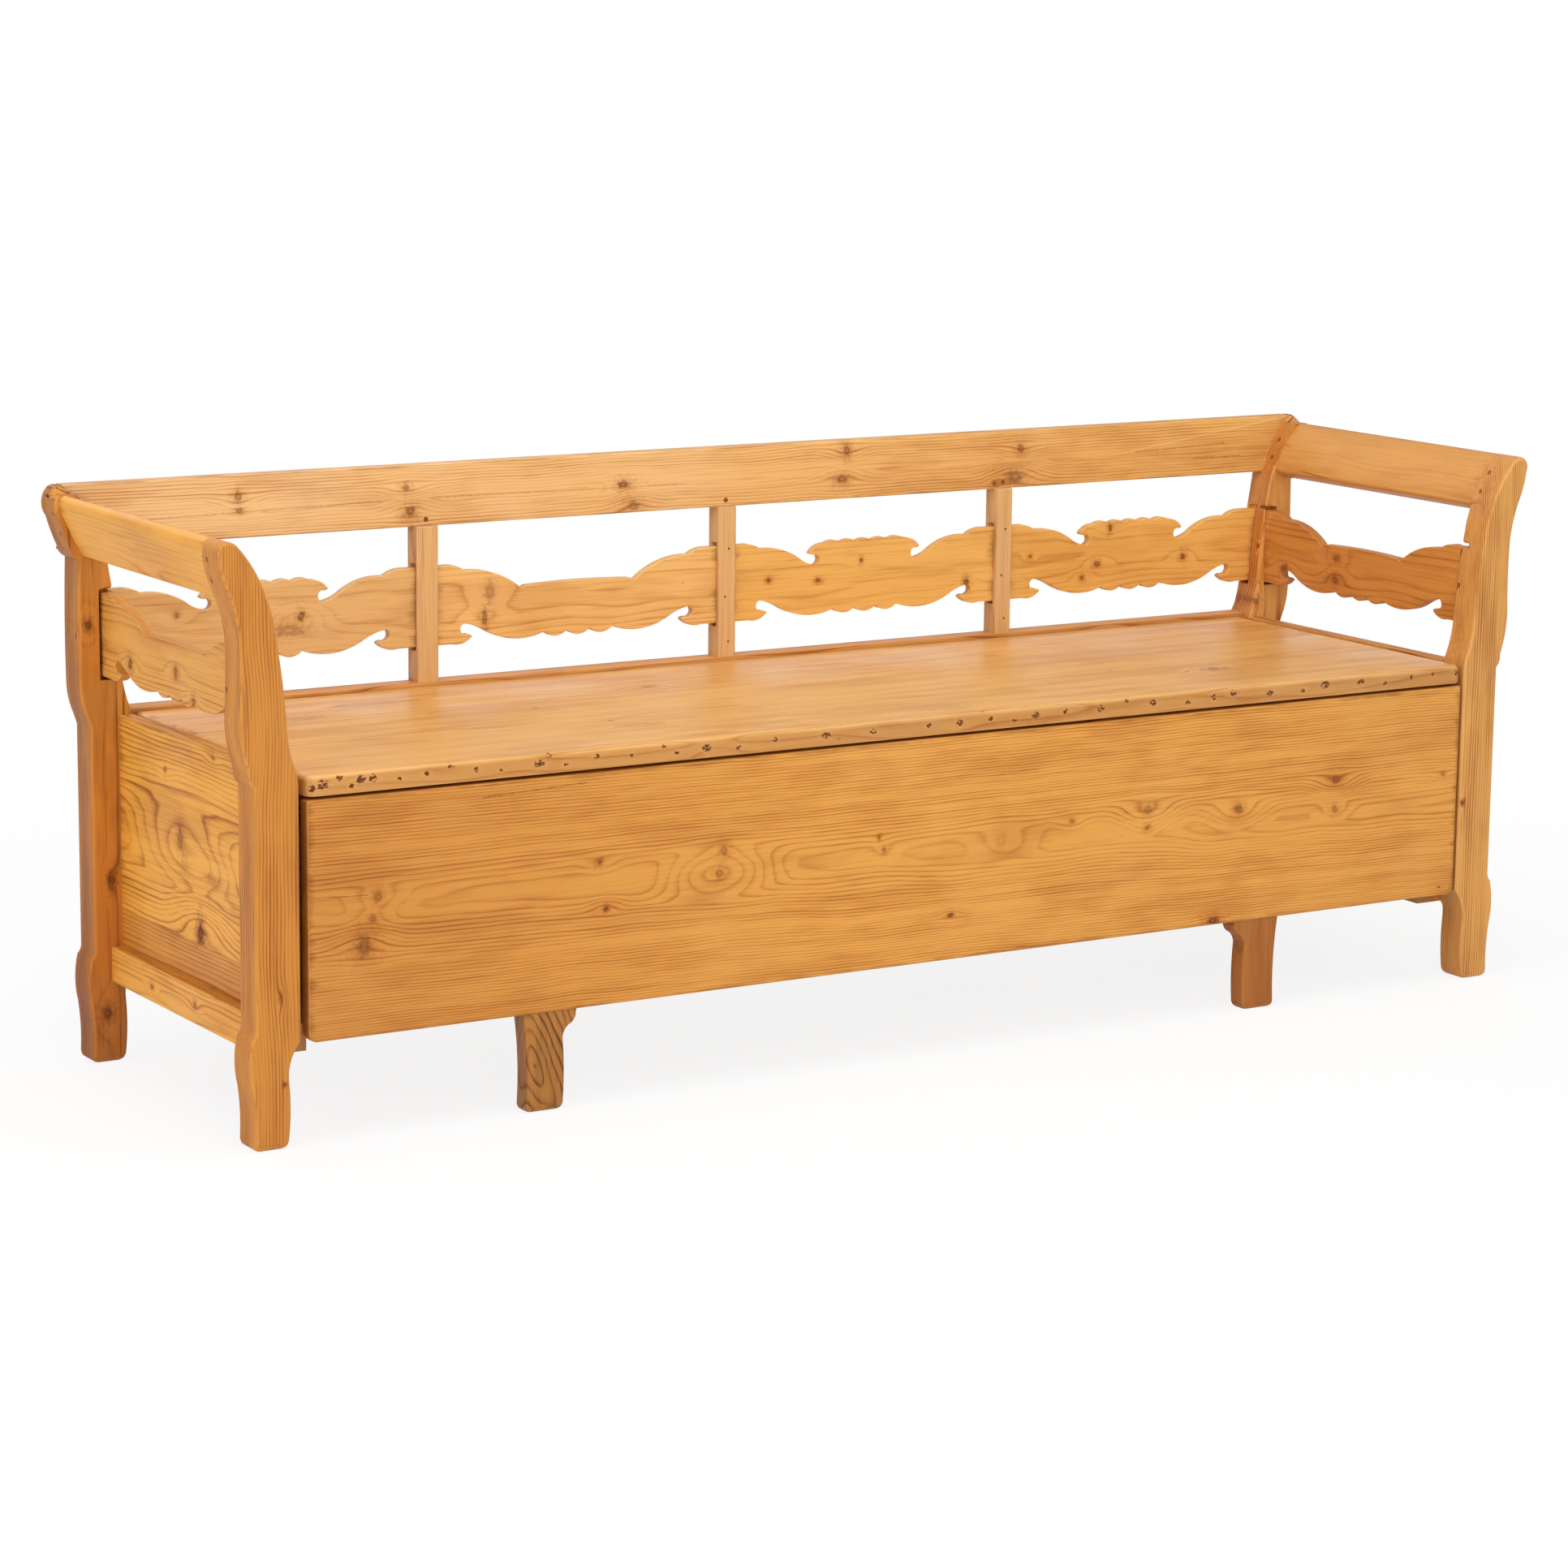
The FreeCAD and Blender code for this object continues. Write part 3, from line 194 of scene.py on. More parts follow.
# waves per metre along and across the board, and how deep the middle ones are in metres
SLOW_WAVES, MIDDLE_WAVES, QUICK_WAVES = (0.9, 4.0), (5.0, 9.0), (6.0, 40.0)
MIDDLE_DEPTH = 0.012
INWARD_BEND_SHARE = 0.6
SEED_SIDESTEP = 1.7
# places in one ring and the darkness there, which rises slowly and falls fast
RING_STEPS = [(0.0, 0.45), (0.07, 0.0), (0.56, 0.05), (0.80, 0.50), (0.91, 1.0), (1.0, 0.45)]
YEAR_STRENGTH = (0.55, 1.0)
# how steeply the rings meet the face: flat ones show less
FACE_GRAIN, EDGE_GRAIN = 0.10, 0.65
FACE_GRAIN_STRENGTH = 0.55
# dark and light groups of years
BANDS_PER_RING = 0.21
BAND_LEVELS = (0.32, 0.68)
BAND_STRENGTH = (0.75, 1.25)


def make_growth_rings():
    """Annual rings round a pith that runs along the board, drawn out by noise."""
    tree, got, gives = new_group(
        "Growth rings",
        {"vector": ["Board", "Pith"], "value": ["Lift", "Ring Width", "Wander", "Drift", "Seed"]},
        {"value": ["Late Wood", "Band"]})
    shift = put(tree, "ShaderNodeCombineXYZ")
    feed(tree, shift.inputs["X"], got["Seed"])
    feed(tree, shift.inputs["Y"], calc(tree, "MULTIPLY", got["Seed"], SEED_SIDESTEP))
    moved = vector_calc(tree, "ADD", got["Board"], shift.outputs[0])
    slow, middle, quick = (
        calc(tree, "SUBTRACT", streaks(tree, moved, waves, detail), NOISE_MEAN)
        for waves, detail in ((SLOW_WAVES, 2.0), (MIDDLE_WAVES, 1.0), (QUICK_WAVES, 1.0)))
    bend = calc(tree, "MULTIPLY", slow, got["Wander"])
    bend = calc(tree, "MULTIPLY_ADD", middle, MIDDLE_DEPTH, bend)
    ripple = calc(tree, "MULTIPLY", quick, got["Ring Width"])

    from_pith = parts_of(tree, vector_calc(tree, "SUBTRACT", got["Board"], got["Pith"]))
    across = calc(tree, "MULTIPLY_ADD", from_pith["X"], got["Drift"], from_pith["Y"])
    across = calc(tree, "ADD", across, bend)
    inward = calc(tree, "MULTIPLY_ADD", from_pith["X"], got["Drift"], from_pith["Z"])
    inward = calc(tree, "MULTIPLY_ADD", bend, INWARD_BEND_SHARE, inward)
    inward_squared = calc(tree, "MULTIPLY", inward, inward)
    radius = calc(tree, "SQRT", calc(tree, "MULTIPLY_ADD", across, across, inward_squared))
    lifted = calc(tree, "ADD", calc(tree, "ADD", radius, got["Lift"]), ripple)
    count = calc(tree, "DIVIDE", lifted, got["Ring Width"])

    ramp = put(tree, "ShaderNodeValToRGB")
    feed(tree, ramp.inputs[0], calc(tree, "FRACT", count))
    for place, _ in RING_STEPS[1:-1]:
        ramp.color_ramp.elements.new(place)
    for element, (place, level) in zip(ramp.color_ramp.elements, RING_STEPS):
        element.position = place
        element.color = (level, level, level, 1.0)

    year = put(tree, "ShaderNodeTexWhiteNoise", noise_dimensions="1D")
    feed(tree, year.inputs["W"], calc(tree, "ADD", calc(tree, "FLOOR", count), got["Seed"]))
    strength = spread(tree, year.outputs["Value"], 0.0, 1.0, *YEAR_STRENGTH, "LINEAR")
    steep = calc(tree, "DIVIDE", calc(tree, "ABSOLUTE", across), radius)
    steep = spread(tree, steep, FACE_GRAIN, EDGE_GRAIN, FACE_GRAIN_STRENGTH, 1.0)
    strength = calc(tree, "MULTIPLY", strength, steep)
    decade = put(tree, "ShaderNodeTexNoise", noise_dimensions="1D")
    feed(tree, decade.inputs["W"], calc(tree, "MULTIPLY_ADD", count, BANDS_PER_RING, got["Seed"]))
    feed(tree, decade.inputs["Scale"], 1.0)
    feed(tree, decade.inputs["Detail"], 1.0)
    band = spread(tree, decade.outputs[0], *BAND_LEVELS)
    feed(tree, gives["Band"], band)
    banded = spread(tree, band, 0.0, 1.0, *BAND_STRENGTH, "LINEAR")
    strength = calc(tree, "MULTIPLY", strength, banded)
    feed(tree, gives["Late Wood"], calc(tree, "MULTIPLY", ramp.outputs["Color"], strength))
    return tree


# Knots

ON_FACE = (1.0, 1.0, 0.0)
ACROSS_ONLY = (0.0, 1.0, 0.0)
# the bent grain round a knot is twice as long as wide
FLOW_OUTLINE = (0.5, 1.0, 0.0)
BULGE_SHARE = 0.32
# distances from the middle of a knot, as shares of its size
HEART_REACH = (0.95, 0.72)
HEART_RINGS = 2.6
LEAST_HEART_RING = 0.45
AMBER_REACH = (2.4, 0.8)
AMBER_SHARE = 0.5


def make_knot():
    """One knot: the grain flows round it, its heart is dark and amber wood lies round that."""
    tree, got, gives = new_group(
        "Knot",
        {"vector": ["Board", "Place", "Size", "Bent"],
         "value": ["Flow", "Push", "Depth", "Wobble", "Lift", "Dark", "Amber"]},
        {"vector": ["Bent"], "value": ["Lift", "Dark", "Amber"]})
    away = vector_calc(tree, "SUBTRACT", got["Board"], got["Place"])
    flat = vector_calc(tree, "MULTIPLY", away, FLOW_OUTLINE)
    reach = calc(tree, "DIVIDE", vector_calc(tree, "LENGTH", flat), got["Flow"])
    push = calc(tree, "MULTIPLY", spread(tree, reach, 1.0, 0.0), got["Push"])
    bulge = calc(tree, "MULTIPLY", calc(tree, "MULTIPLY", push, got["Push"]), got["Flow"])
    feed(tree, gives["Lift"], calc(tree, "MULTIPLY_ADD", bulge, BULGE_SHARE, got["Lift"]))
    aside = scaled(tree, vector_calc(tree, "MULTIPLY", away, ACROSS_ONLY), push)
    feed(tree, gives["Bent"], vector_calc(tree, "SUBTRACT", got["Bent"], aside))

    level = vector_calc(tree, "MULTIPLY", away, ON_FACE)
    near = vector_calc(tree, "LENGTH", vector_calc(tree, "DIVIDE", level, got["Size"]))
    near = calc(tree, "MULTIPLY", near, got["Wobble"])
    rings = calc(tree, "PINGPONG", calc(tree, "MULTIPLY", near, HEART_RINGS), 1.0)
    rings = spread(tree, rings, 0.0, 1.0, LEAST_HEART_RING, 1.0)
    heart = calc(tree, "MULTIPLY", spread(tree, near, *HEART_REACH), rings)
    heart = calc(tree, "MULTIPLY", heart, got["Depth"])
    feed(tree, gives["Dark"], calc(tree, "MAXIMUM", got["Dark"], heart))
    amber = calc(tree, "MULTIPLY", got["Depth"], AMBER_SHARE)
    amber = calc(tree, "MULTIPLY", spread(tree, near, *AMBER_REACH), amber)
    feed(tree, gives["Amber"], calc(tree, "MAXIMUM", got["Amber"], amber))
    return tree


# Scars and cracks

# distances from the middle of a torn spot, as shares of its size, and levels of its ragged noise
PIT_REACH = (1.3, 0.5)
PIT_LEVELS = (0.40, 0.52)
CHIP_REACH = (2.0, 0.8)
CHIP_LEVELS = (0.56, 0.40)
CHIP_PALENESS = 0.14
CRACK_LEVELS = (0.35, 0.65)
CRACK_WIDTH_SHARES = (0.6, 1.5)
CRACK_CORE_SHARE = 0.3


def make_scar():
    """One torn spot of an edge: a ragged dark pit with pale chipped wood round it."""
    tree, got, gives = new_group(
        "Scar",
        {"vector": ["Board", "Place", "Size"], "value": ["Ragged", "Dark", "Pale"]},
        {"value": ["Dark", "Pale"]})
    away = vector_calc(tree, "SUBTRACT", got["Board"], got["Place"])
    near = vector_calc(tree, "LENGTH", vector_calc(tree, "DIVIDE", away, got["Size"]))
    inside = calc(tree, "MULTIPLY", spread(tree, near, *PIT_REACH), got["Ragged"])
    pit = spread(tree, inside, *PIT_LEVELS)
    feed(tree, gives["Dark"], calc(tree, "MAXIMUM", got["Dark"], pit))
    chip = spread(tree, got["Ragged"], *CHIP_LEVELS, 0.0, CHIP_PALENESS)
    chip = calc(tree, "MULTIPLY", spread(tree, near, *CHIP_REACH), chip)
    feed(tree, gives["Pale"], calc(tree, "MAXIMUM", got["Pale"], chip))
    return tree


def make_crack():
    """A thin dark split that runs from one place of a board to another."""
    tree, got, gives = new_group(
        "Crack",
        {"vector": ["Board", "Start", "Run"], "value": ["Width", "Depth", "Ragged", "Dark"]},
        {"value": ["Dark"]})
    away = vector_calc(tree, "SUBTRACT", got["Board"], got["Start"])
    away = vector_calc(tree, "MULTIPLY", away, ON_FACE)
    length_squared = vector_calc(tree, "DOT_PRODUCT", got["Run"], got["Run"])
    share = vector_calc(tree, "DOT_PRODUCT", away, got["Run"])
    share = calc(tree, "DIVIDE", share, length_squared, clamp=True)
    along = scaled(tree, got["Run"], share)
    off = vector_calc(tree, "LENGTH", vector_calc(tree, "SUBTRACT", away, along))
    ragged = spread(tree, got["Ragged"], *CRACK_LEVELS, *CRACK_WIDTH_SHARES)
    width = calc(tree, "MULTIPLY", got["Width"], ragged)
    line = spread(tree, off, width, calc(tree, "MULTIPLY", width, CRACK_CORE_SHARE))
    line = calc(tree, "MULTIPLY", line, got["Depth"])
    feed(tree, gives["Dark"], calc(tree, "MAXIMUM", got["Dark"], line))
    return tree


# Painted crevice shade with joint soiling, and old surface

# waves per metre along and across the board
SMEAR_WAVES, STREAK_WAVES, MOTTLE_WAVES = (14.0, 60.0), (1.6, 55.0), (5.0, 18.0)
FIBRE_WAVES = (12.0, 380.0)
ROUGH_NOISE = {"detail": 3.0, "roughness": 0.6}
MIDDLE_LEVELS = (0.3, 0.7)
SMEAR_SHIFT = (-0.30, 1.10)
# how far in the painted crevice shade and joint soiling fade out
DIRT_AND_SHADE_END = 1.25
# scales per metre of rubbed patches and of the cells of small pits, and widths in those cells
RUB_SCALE, RUB_DETAIL = 4.5, 3.0
PIT_STRETCH = (0.4, 1.2)
PIT_SCALE = 34.0
PIT_WIDTHS = (0.035, 0.09)
PIT_CORE_SHARE = 0.5


def make_dirt_and_shade():
    """Darkening at a board's ends and edges by its neighbours: joint soiling and painted crevice
    shade.
    """
    tree, got, gives = new_group(
        "Grime", {"vector": ["Board", "Low", "High", "Reach"]}, {"value": ["Grime"]})
    from_low = vector_calc(tree, "SUBTRACT", got["Board"], got["Low"])
    from_high = vector_calc(tree, "SUBTRACT", got["High"], got["Board"])
    nearest = vector_calc(tree, "MINIMUM", from_low, from_high)
    nearest = parts_of(tree, vector_calc(tree, "DIVIDE", nearest, got["Reach"]))
    edge = calc(tree, "MINIMUM", nearest["X"], nearest["Y"])
    smear = streaks(tree, got["Board"], SMEAR_WAVES, **ROUGH_NOISE)
    smear = spread(tree, smear, *MIDDLE_LEVELS, *SMEAR_SHIFT, "LINEAR")
    edge = calc(tree, "ADD", edge, smear)
    feed(tree, gives["Grime"], spread(tree, edge, DIRT_AND_SHADE_END, 0.0, kind="LINEAR"))
    return tree


def make_old_surface():
    """Mottling, small pits and rubbed patches that a century of use leaves."""
    tree, got, gives = new_group(
        "Old surface",
        {"vector": ["Where", "Board"], "value": ["Pits"]},
        {"value": ["Mottle", "Pit", "Rub", "Fibre", "Streak"]})
    feed(tree, gives["Streak"], streaks(tree, got["Board"], STREAK_WAVES, **ROUGH_NOISE))
    feed(tree, gives["Mottle"], streaks(tree, got["Board"], MOTTLE_WAVES, **ROUGH_NOISE))
    feed(tree, gives["Rub"], cloud(tree, got["Where"], RUB_SCALE, RUB_DETAIL))
    feed(tree, gives["Fibre"], streaks(tree, got["Board"], FIBRE_WAVES))
    cells = put(tree, "ShaderNodeTexVoronoi", voronoi_dimensions="3D", feature="F1")
    feed(tree, cells.inputs["Vector"], stretched(tree, got["Board"], *PIT_STRETCH))
    feed(tree, cells.inputs["Scale"], PIT_SCALE)
    chance = put(tree, "ShaderNodeSeparateColor")
    feed(tree, chance.inputs[0], cells.outputs["Color"])
    wide = spread(tree, chance.outputs["Green"], 0.0, 1.0, *PIT_WIDTHS, "LINEAR")
    core = calc(tree, "MULTIPLY", wide, PIT_CORE_SHARE)
    hole = spread(tree, cells.outputs["Distance"], core, wide, 1.0, 0.0)
    chosen = calc(tree, "LESS_THAN", chance.outputs["Red"], got["Pits"])
    feed(tree, gives["Pit"], calc(tree, "MULTIPLY", hole, chosen))
    return tree


# Waxed pine

# levels are ranges of noise, and the rest are amounts of tint, roughness and height
INNER_LEVELS = (0.35, 0.65)
CONTRAST_SHARES = (0.75, 1.25)
FIBRE_TINT = (-0.17, 0.17)
BAND_TINT = 0.12
STREAK_TINT = (-0.06, 0.09)
MOTTLE_LEVELS, MOTTLE_TINT = (0.46, 0.66), 0.24
RUB_LEVELS, RUB_TINT = (0.50, 0.70), 0.20
# how squarely a spot faces as the board does: 1 is the face, 0 a side or an end
SIDE_FACING = (0.80, 0.30)
ARRIS_FROM_SIDE, ARRIS_FROM_FACE = (0.10, 0.30), (0.97, 0.90)
ARRIS_RUB_LEVELS = (0.35, 0.60)
# strength of the painted crevice shade and joint soiling, from sides to faces
DIRT_AND_SHADE_FACING, DIRT_AND_SHADE_DARKNESS = (0.6, 0.95), (0.15, 0.62)
WAX_ROUGHNESS = (0.42, 0.56)
LATE_ROUGHNESS, DARK_ROUGHNESS = 0.06, 0.2
MOTTLE_HEIGHT, FIBRE_HEIGHT, PIT_HEIGHT = 1.2, 0.3, -0.9


def make_waxed_pine(growth_rings, old_surface):
    """Colour, roughness and height of waxed old pine from its rings, knots and wear."""
    tree, got, gives = new_group(
        "Waxed pine",
        {"vector": ["Where", "Board", "Bent", "Normal", "Face", "Pith"],
         "value": ["Ring Width", "Wander", "Drift", "Contrast", "Seed", "Lift", "Pits", "Dark",
                   "Amber", "Pale", "Grime", "Gloss", "Edge", "Rubbed"],
         "colour": ["Early", "Late", "Heart", "Worn"]},
        {"colour": ["Colour"], "value": ["Roughness", "Height"]})
    rings = use(tree, growth_rings, Board=got["Bent"], Lift=got["Lift"], Pith=got["Pith"],
                Ring_Width=got["Ring Width"], Wander=got["Wander"], Drift=got["Drift"],
                Seed=got["Seed"])
    worn = use(tree, old_surface, Where=got["Where"], Board=got["Board"], Pits=got["Pits"])

    contrast = spread(tree, worn["Mottle"], *INNER_LEVELS, *CONTRAST_SHARES)
    contrast = calc(tree, "MULTIPLY", got["Contrast"], contrast)
    late = calc(tree, "MULTIPLY", rings["Late Wood"], contrast)
    fibre = spread(tree, worn["Fibre"], *MIDDLE_LEVELS, *FIBRE_TINT, "LINEAR")
    late = calc(tree, "ADD", late, fibre)
    bands = calc(tree, "SUBTRACT", rings["Band"], NOISE_MEAN)
    bands = calc(tree, "MULTIPLY", bands, got["Contrast"])
    late = calc(tree, "MULTIPLY_ADD", bands, BAND_TINT, late)
    streak = spread(tree, worn["Streak"], *INNER_LEVELS, *STREAK_TINT, "LINEAR")
    late = calc(tree, "ADD", late, streak)
    late = calc(tree, "ADD", late, got["Amber"], clamp=True)
    colour = blend(tree, late, got["Early"], got["Late"])
    mottled = spread(tree, worn["Mottle"], *MOTTLE_LEVELS, 0.0, MOTTLE_TINT)
    colour = blend(tree, mottled, colour, got["Late"])
    rubbed = spread(tree, worn["Rub"], *RUB_LEVELS, 0.0, RUB_TINT)
    colour = blend(tree, rubbed, colour, got["Worn"])

    facing = calc(tree, "ABSOLUTE", vector_calc(tree, "DOT_PRODUCT", got["Normal"], got["Face"]))
    edge = calc(tree, "MULTIPLY", spread(tree, facing, *SIDE_FACING), got["Edge"])
    colour = blend(tree, edge, colour, got["Late"])
    arris = calc(tree, "MULTIPLY", spread(tree, facing, *ARRIS_FROM_SIDE),
                 spread(tree, facing, *ARRIS_FROM_FACE))
    arris = calc(tree, "MULTIPLY", arris, spread(tree, worn["Rub"], *ARRIS_RUB_LEVELS))
    arris = calc(tree, "MULTIPLY", arris, got["Rubbed"])
    colour = blend(tree, calc(tree, "MAXIMUM", arris, got["Pale"]), colour, got["Worn"])
    dark = calc(tree, "MAXIMUM", got["Dark"], worn["Pit"])
    # painted shade in crevices, with soiling at joints, darkens towards the heart tone
    dirt_and_shade_amount = spread(tree, facing, *DIRT_AND_SHADE_FACING, *DIRT_AND_SHADE_DARKNESS)
    dark = calc(tree, "MAXIMUM", dark, calc(tree, "MULTIPLY", got["Grime"], dirt_and_shade_amount))
    feed(tree, gives["Colour"], blend(tree, dark, colour, got["Heart"]))

    rough = calc(tree, "ADD", spread(tree, worn["Rub"], *MIDDLE_LEVELS, *WAX_ROUGHNESS),
                 calc(tree, "MULTIPLY", late, LATE_ROUGHNESS))
    rough = calc(tree, "SUBTRACT", rough, got["Gloss"])
    feed(tree, gives["Roughness"], calc(tree, "MULTIPLY_ADD", dark, DARK_ROUGHNESS, rough))
    fibre_height = calc(tree, "MULTIPLY", worn["Fibre"], FIBRE_HEIGHT)
    height = calc(tree, "MULTIPLY_ADD", worn["Mottle"], MOTTLE_HEIGHT, fibre_height)
    feed(tree, gives["Height"], calc(tree, "MULTIPLY_ADD", worn["Pit"], PIT_HEIGHT, height))
    return tree


knot_group = make_knot()
scar_group = make_scar()
crack_group = make_crack()
dirt_and_shade_group = make_dirt_and_shade()
waxed_pine = make_waxed_pine(make_growth_rings(), make_old_surface())


# Pine of one board

# shares of a board's mean tone, in a screen's values
EARLY_SHARES = (1.05, 1.07, 1.04)
LATE_SHARES = (0.80, 0.63, 0.40)
DARK_SHARES = (0.70, 0.51, 0.28)
FLAME_SHARES = (0.55, 0.38, 0.20)
SOOTY_SHARES = (0.50, 0.42, 0.34)
WORN_SHARES = (1.09, 1.18, 1.38)
BRIGHTEST = 250.0
HEART = (100, 48, 12)
FACES = {"X": (1, 0, 0), "Y": (0, 1, 0), "Z": (0, 0, 1)}
RAGGED_SCALE = 150.0
WOBBLE_SHARES = (0.70, 1.35)
SPLINTER_WAVES = (190.0, 330.0)
BUMP_STRENGTH, BUMP_DISTANCE = 0.35, 0.0008
WAX_SPECULAR = 0.24


def tinted(shade, shares):
    """A tone made from a mean tone and shares of its channels."""
    return tone(*(min(BRIGHTEST, value * share) for value, share in zip(shade, shares)))


def turned(place, axes):
    """A point in a board's own order of axes."""
    return tuple(place["XYZ".index(axis)] for axis in axes)


def new_material(name):
    """A new material with its tree, its shader and its object coordinates."""
    material = bpy.data.materials.new(name)
    material.use_nodes = True
    tree = material.node_tree
    coords = put(tree, "ShaderNodeTexCoord").outputs["Object"]
    return material, tree, tree.nodes["Principled BSDF"], coords


def pine(name, axes, pith, shade, ring=0.0034, wander=0.02, drift=0.0, contrast=0.7, seed=0.0,
         pits=0.03, knots=(), scars=(), cracks=(), dirt_and_shade=None, eaten=None, gloss=0.0, edge=0.25,
         rubbed=0.40, heart=HEART, late_shares=LATE_SHARES, far_shade=None):
    """Waxed pine of a board.

    axes name the object's axes along the grain, across the board and through it, and pith is the
    place of the tree's heart across and through. knots, scars and cracks are described at their
    tables. dirt_and_shade is a node and the reach from its ends and edges of a darkening that is
    partly soiling of the joints and partly painted shade in the crevices, eaten is where pits
    begin and are worst across the board and their share there, and far_shade is where along the
    board another mean tone begins and is reached, and that tone, which on the back rail is
    painted light and sheen and on the back left post painted shade.
    """
    material, tree, shader, coords = new_material(name)
    parts = parts_of(tree, coords)
    board = put(tree, "ShaderNodeCombineXYZ")
    for socket, axis in zip(board.inputs, axes):
        feed(tree, socket, parts[axis])
    board = board.outputs[0]

    bent, lift, dark, amber, pale, dirt_and_shade_amount = board, 0.0, 0.0, 0.0, 0.0, 0.0
    ragged = cloud(tree, board, RAGGED_SCALE) if knots or cracks else None
    wobble = spread(tree, ragged, *MIDDLE_LEVELS, *WOBBLE_SHARES, "LINEAR") if knots else None
    for along, across, half_length, half_height, flow, push, depth in knots:
        made = use(tree, knot_group, Board=board, Place=(along, across, 0.0),
                   Size=(half_length, half_height, 1.0), Flow=flow, Push=push, Depth=depth,
                   Wobble=wobble, Bent=bent, Lift=lift, Dark=dark, Amber=amber)
        bent, lift, dark, amber = made["Bent"], made["Lift"], made["Dark"], made["Amber"]
    splinters = streaks(tree, board, SPLINTER_WAVES, detail=2.0) if scars else None
    for place, size in scars:
        made = use(tree, scar_group, Board=board, Place=place, Size=size, Ragged=splinters,
                   Dark=dark, Pale=pale)
        dark, pale = made["Dark"], made["Pale"]
    for along, across, run, rise, width, depth in cracks:
        made = use(tree, crack_group, Board=board, Start=(along, across, 0.0),
                   Run=(run, rise, 0.0), Width=width, Depth=depth, Ragged=ragged, Dark=dark)
        dark = made["Dark"]
    # darkening at the node's ends and edges: soiling of the joints and painted shade in the
    # crevices
    if dirt_and_shade:
        node, end_reach, edge_reach = dirt_and_shade
        low, high = BOXES[node]
        made = use(tree, dirt_and_shade_group, Board=board, Low=turned(low, axes), High=turned(high, axes),
                   Reach=(end_reach, edge_reach, 1.0))
        dirt_and_shade_amount = made["Grime"]
    if eaten:
        sound, worst, share = eaten
        pits = spread(tree, parts[axes[1]], sound, worst, pits, share)

    all_shares = (EARLY_SHARES, late_shares, WORN_SHARES)
    tones = [tinted(shade, shares) for shares in all_shares]
    if far_shade:
        start, end, other = far_shade
        share = spread(tree, parts[axes[0]], start, end, kind="LINEAR")
        tones = [blend(tree, share, near, tinted(other, shares))
                 for near, shares in zip(tones, all_shares)]
    early, late, worn = tones
    made = use(tree, waxed_pine, Where=coords, Board=board, Bent=bent, Lift=lift,
               Normal=put(tree, "ShaderNodeNewGeometry").outputs["Normal"], Face=FACES[axes[2]],
               Pith=(0.0, *pith), Ring_Width=ring, Wander=wander, Drift=drift, Contrast=contrast,
               Seed=seed, Pits=pits, Dark=dark, Amber=amber, Pale=pale, Grime=dirt_and_shade_amount, Gloss=gloss,
               Edge=edge, Rubbed=rubbed, Early=early, Late=late, Heart=tone(*heart), Worn=worn)
    bump = put(tree, "ShaderNodeBump")
    feed(tree, bump.inputs["Strength"], BUMP_STRENGTH)
    feed(tree, bump.inputs["Distance"], BUMP_DISTANCE)
    feed(tree, bump.inputs["Height"], made["Height"])
    feed(tree, shader.inputs["Base Color"], made["Colour"])
    feed(tree, shader.inputs["Roughness"], made["Roughness"])
    feed(tree, shader.inputs["Normal"], bump.outputs[0])
    feed(tree, shader.inputs["Specular IOR Level"], WAX_SPECULAR)
    return material


# Pieces

JOINT_REACH = 0.001
FLOOR_REACH = 0.001
MERGE_DISTANCE = 0.00001
FLAT_ANGLE = math.radians(0.4)
# worn arrises: width in metres, wider at a sole, for edges that fold by more than sharp degrees
JOINTED_ARRIS = {"width": 0.0006}
LATH_ARRIS = {"width": 0.0012}
SPLAT_ARRIS = {"width": 0.0014}
END_BOARD_ARRIS = {"width": 0.0015}
BACK_ARRIS = {"width": 0.002}
END_RAIL_ARRIS = {"width": 0.003}
HANDLED_ARRIS = {"width": 0.003, "segments": 3}
ARM_ARRIS = {"width": 0.005, "segments": 3, "sharp": 32}
POST_ARRIS = {"width": 0.005, "segments": 4, "sharp": 32, "sole_width": 0.010}
LEG_ARRIS = {"width": 0.005, "segments": 4, "sharp": 32, "sole_width": 0.009}


def joined(place, node):
    """Tells whether a place lies in another node's box, where a joint keeps it from wear."""
    return any(
        all(low[axis] - JOINT_REACH < place[axis] < high[axis] + JOINT_REACH for axis in range(3))
        for name, (low, high) in BOXES.items() if name != node)


def shown(node, name, material, slot, width, segments=2, sharp=35, sole_width=None):
    """A clean copy of a node's solid with worn arrises, which stands for the node."""
    widest = sole_width or width
    mesh = nodes[node].data.copy()
    shape = bmesh.new()
    shape.from_mesh(mesh)
    bmesh.ops.remove_doubles(shape, verts=shape.verts, dist=MERGE_DISTANCE)
    bmesh.ops.dissolve_limit(shape, angle_limit=FLAT_ANGLE, verts=shape.verts, edges=shape.edges)
    weight = shape.edges.layers.float.new("bevel_weight_edge")
    for edge in shape.edges:
        if len(edge.link_faces) == 2 and edge.calc_face_angle() > math.radians(sharp):
            edge.smooth = False
            middle = (edge.verts[0].co + edge.verts[1].co) / 2
            if edge.is_convex and not joined(middle, node):
                edge[weight] = 1.0 if middle.z < FLOOR_REACH else width / widest
    for face in shape.faces:
        face.smooth = True
    shape.to_mesh(mesh)
    shape.free()
    mesh.materials.clear()
    mesh.materials.append(material)
    mesh.name = name
    piece = bpy.data.objects.new(name, mesh)
    bpy.context.scene.collection.objects.link(piece)
    bevel = piece.modifiers.new("Worn arris", "BEVEL")
    bevel.width = widest
    bevel.segments = segments
    bevel.limit_method = "WEIGHT"
    bevel.use_clamp_overlap = False
    bevel.harden_normals = True
    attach(piece, nodes[node]["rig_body"])
    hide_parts(node)


def finish(names, material):
    """Gives CAD nodes that keep their own mesh a material."""
    for name in names:
        nodes[name].data.materials.clear()
        nodes[name].data.materials.append(material)


# Front board

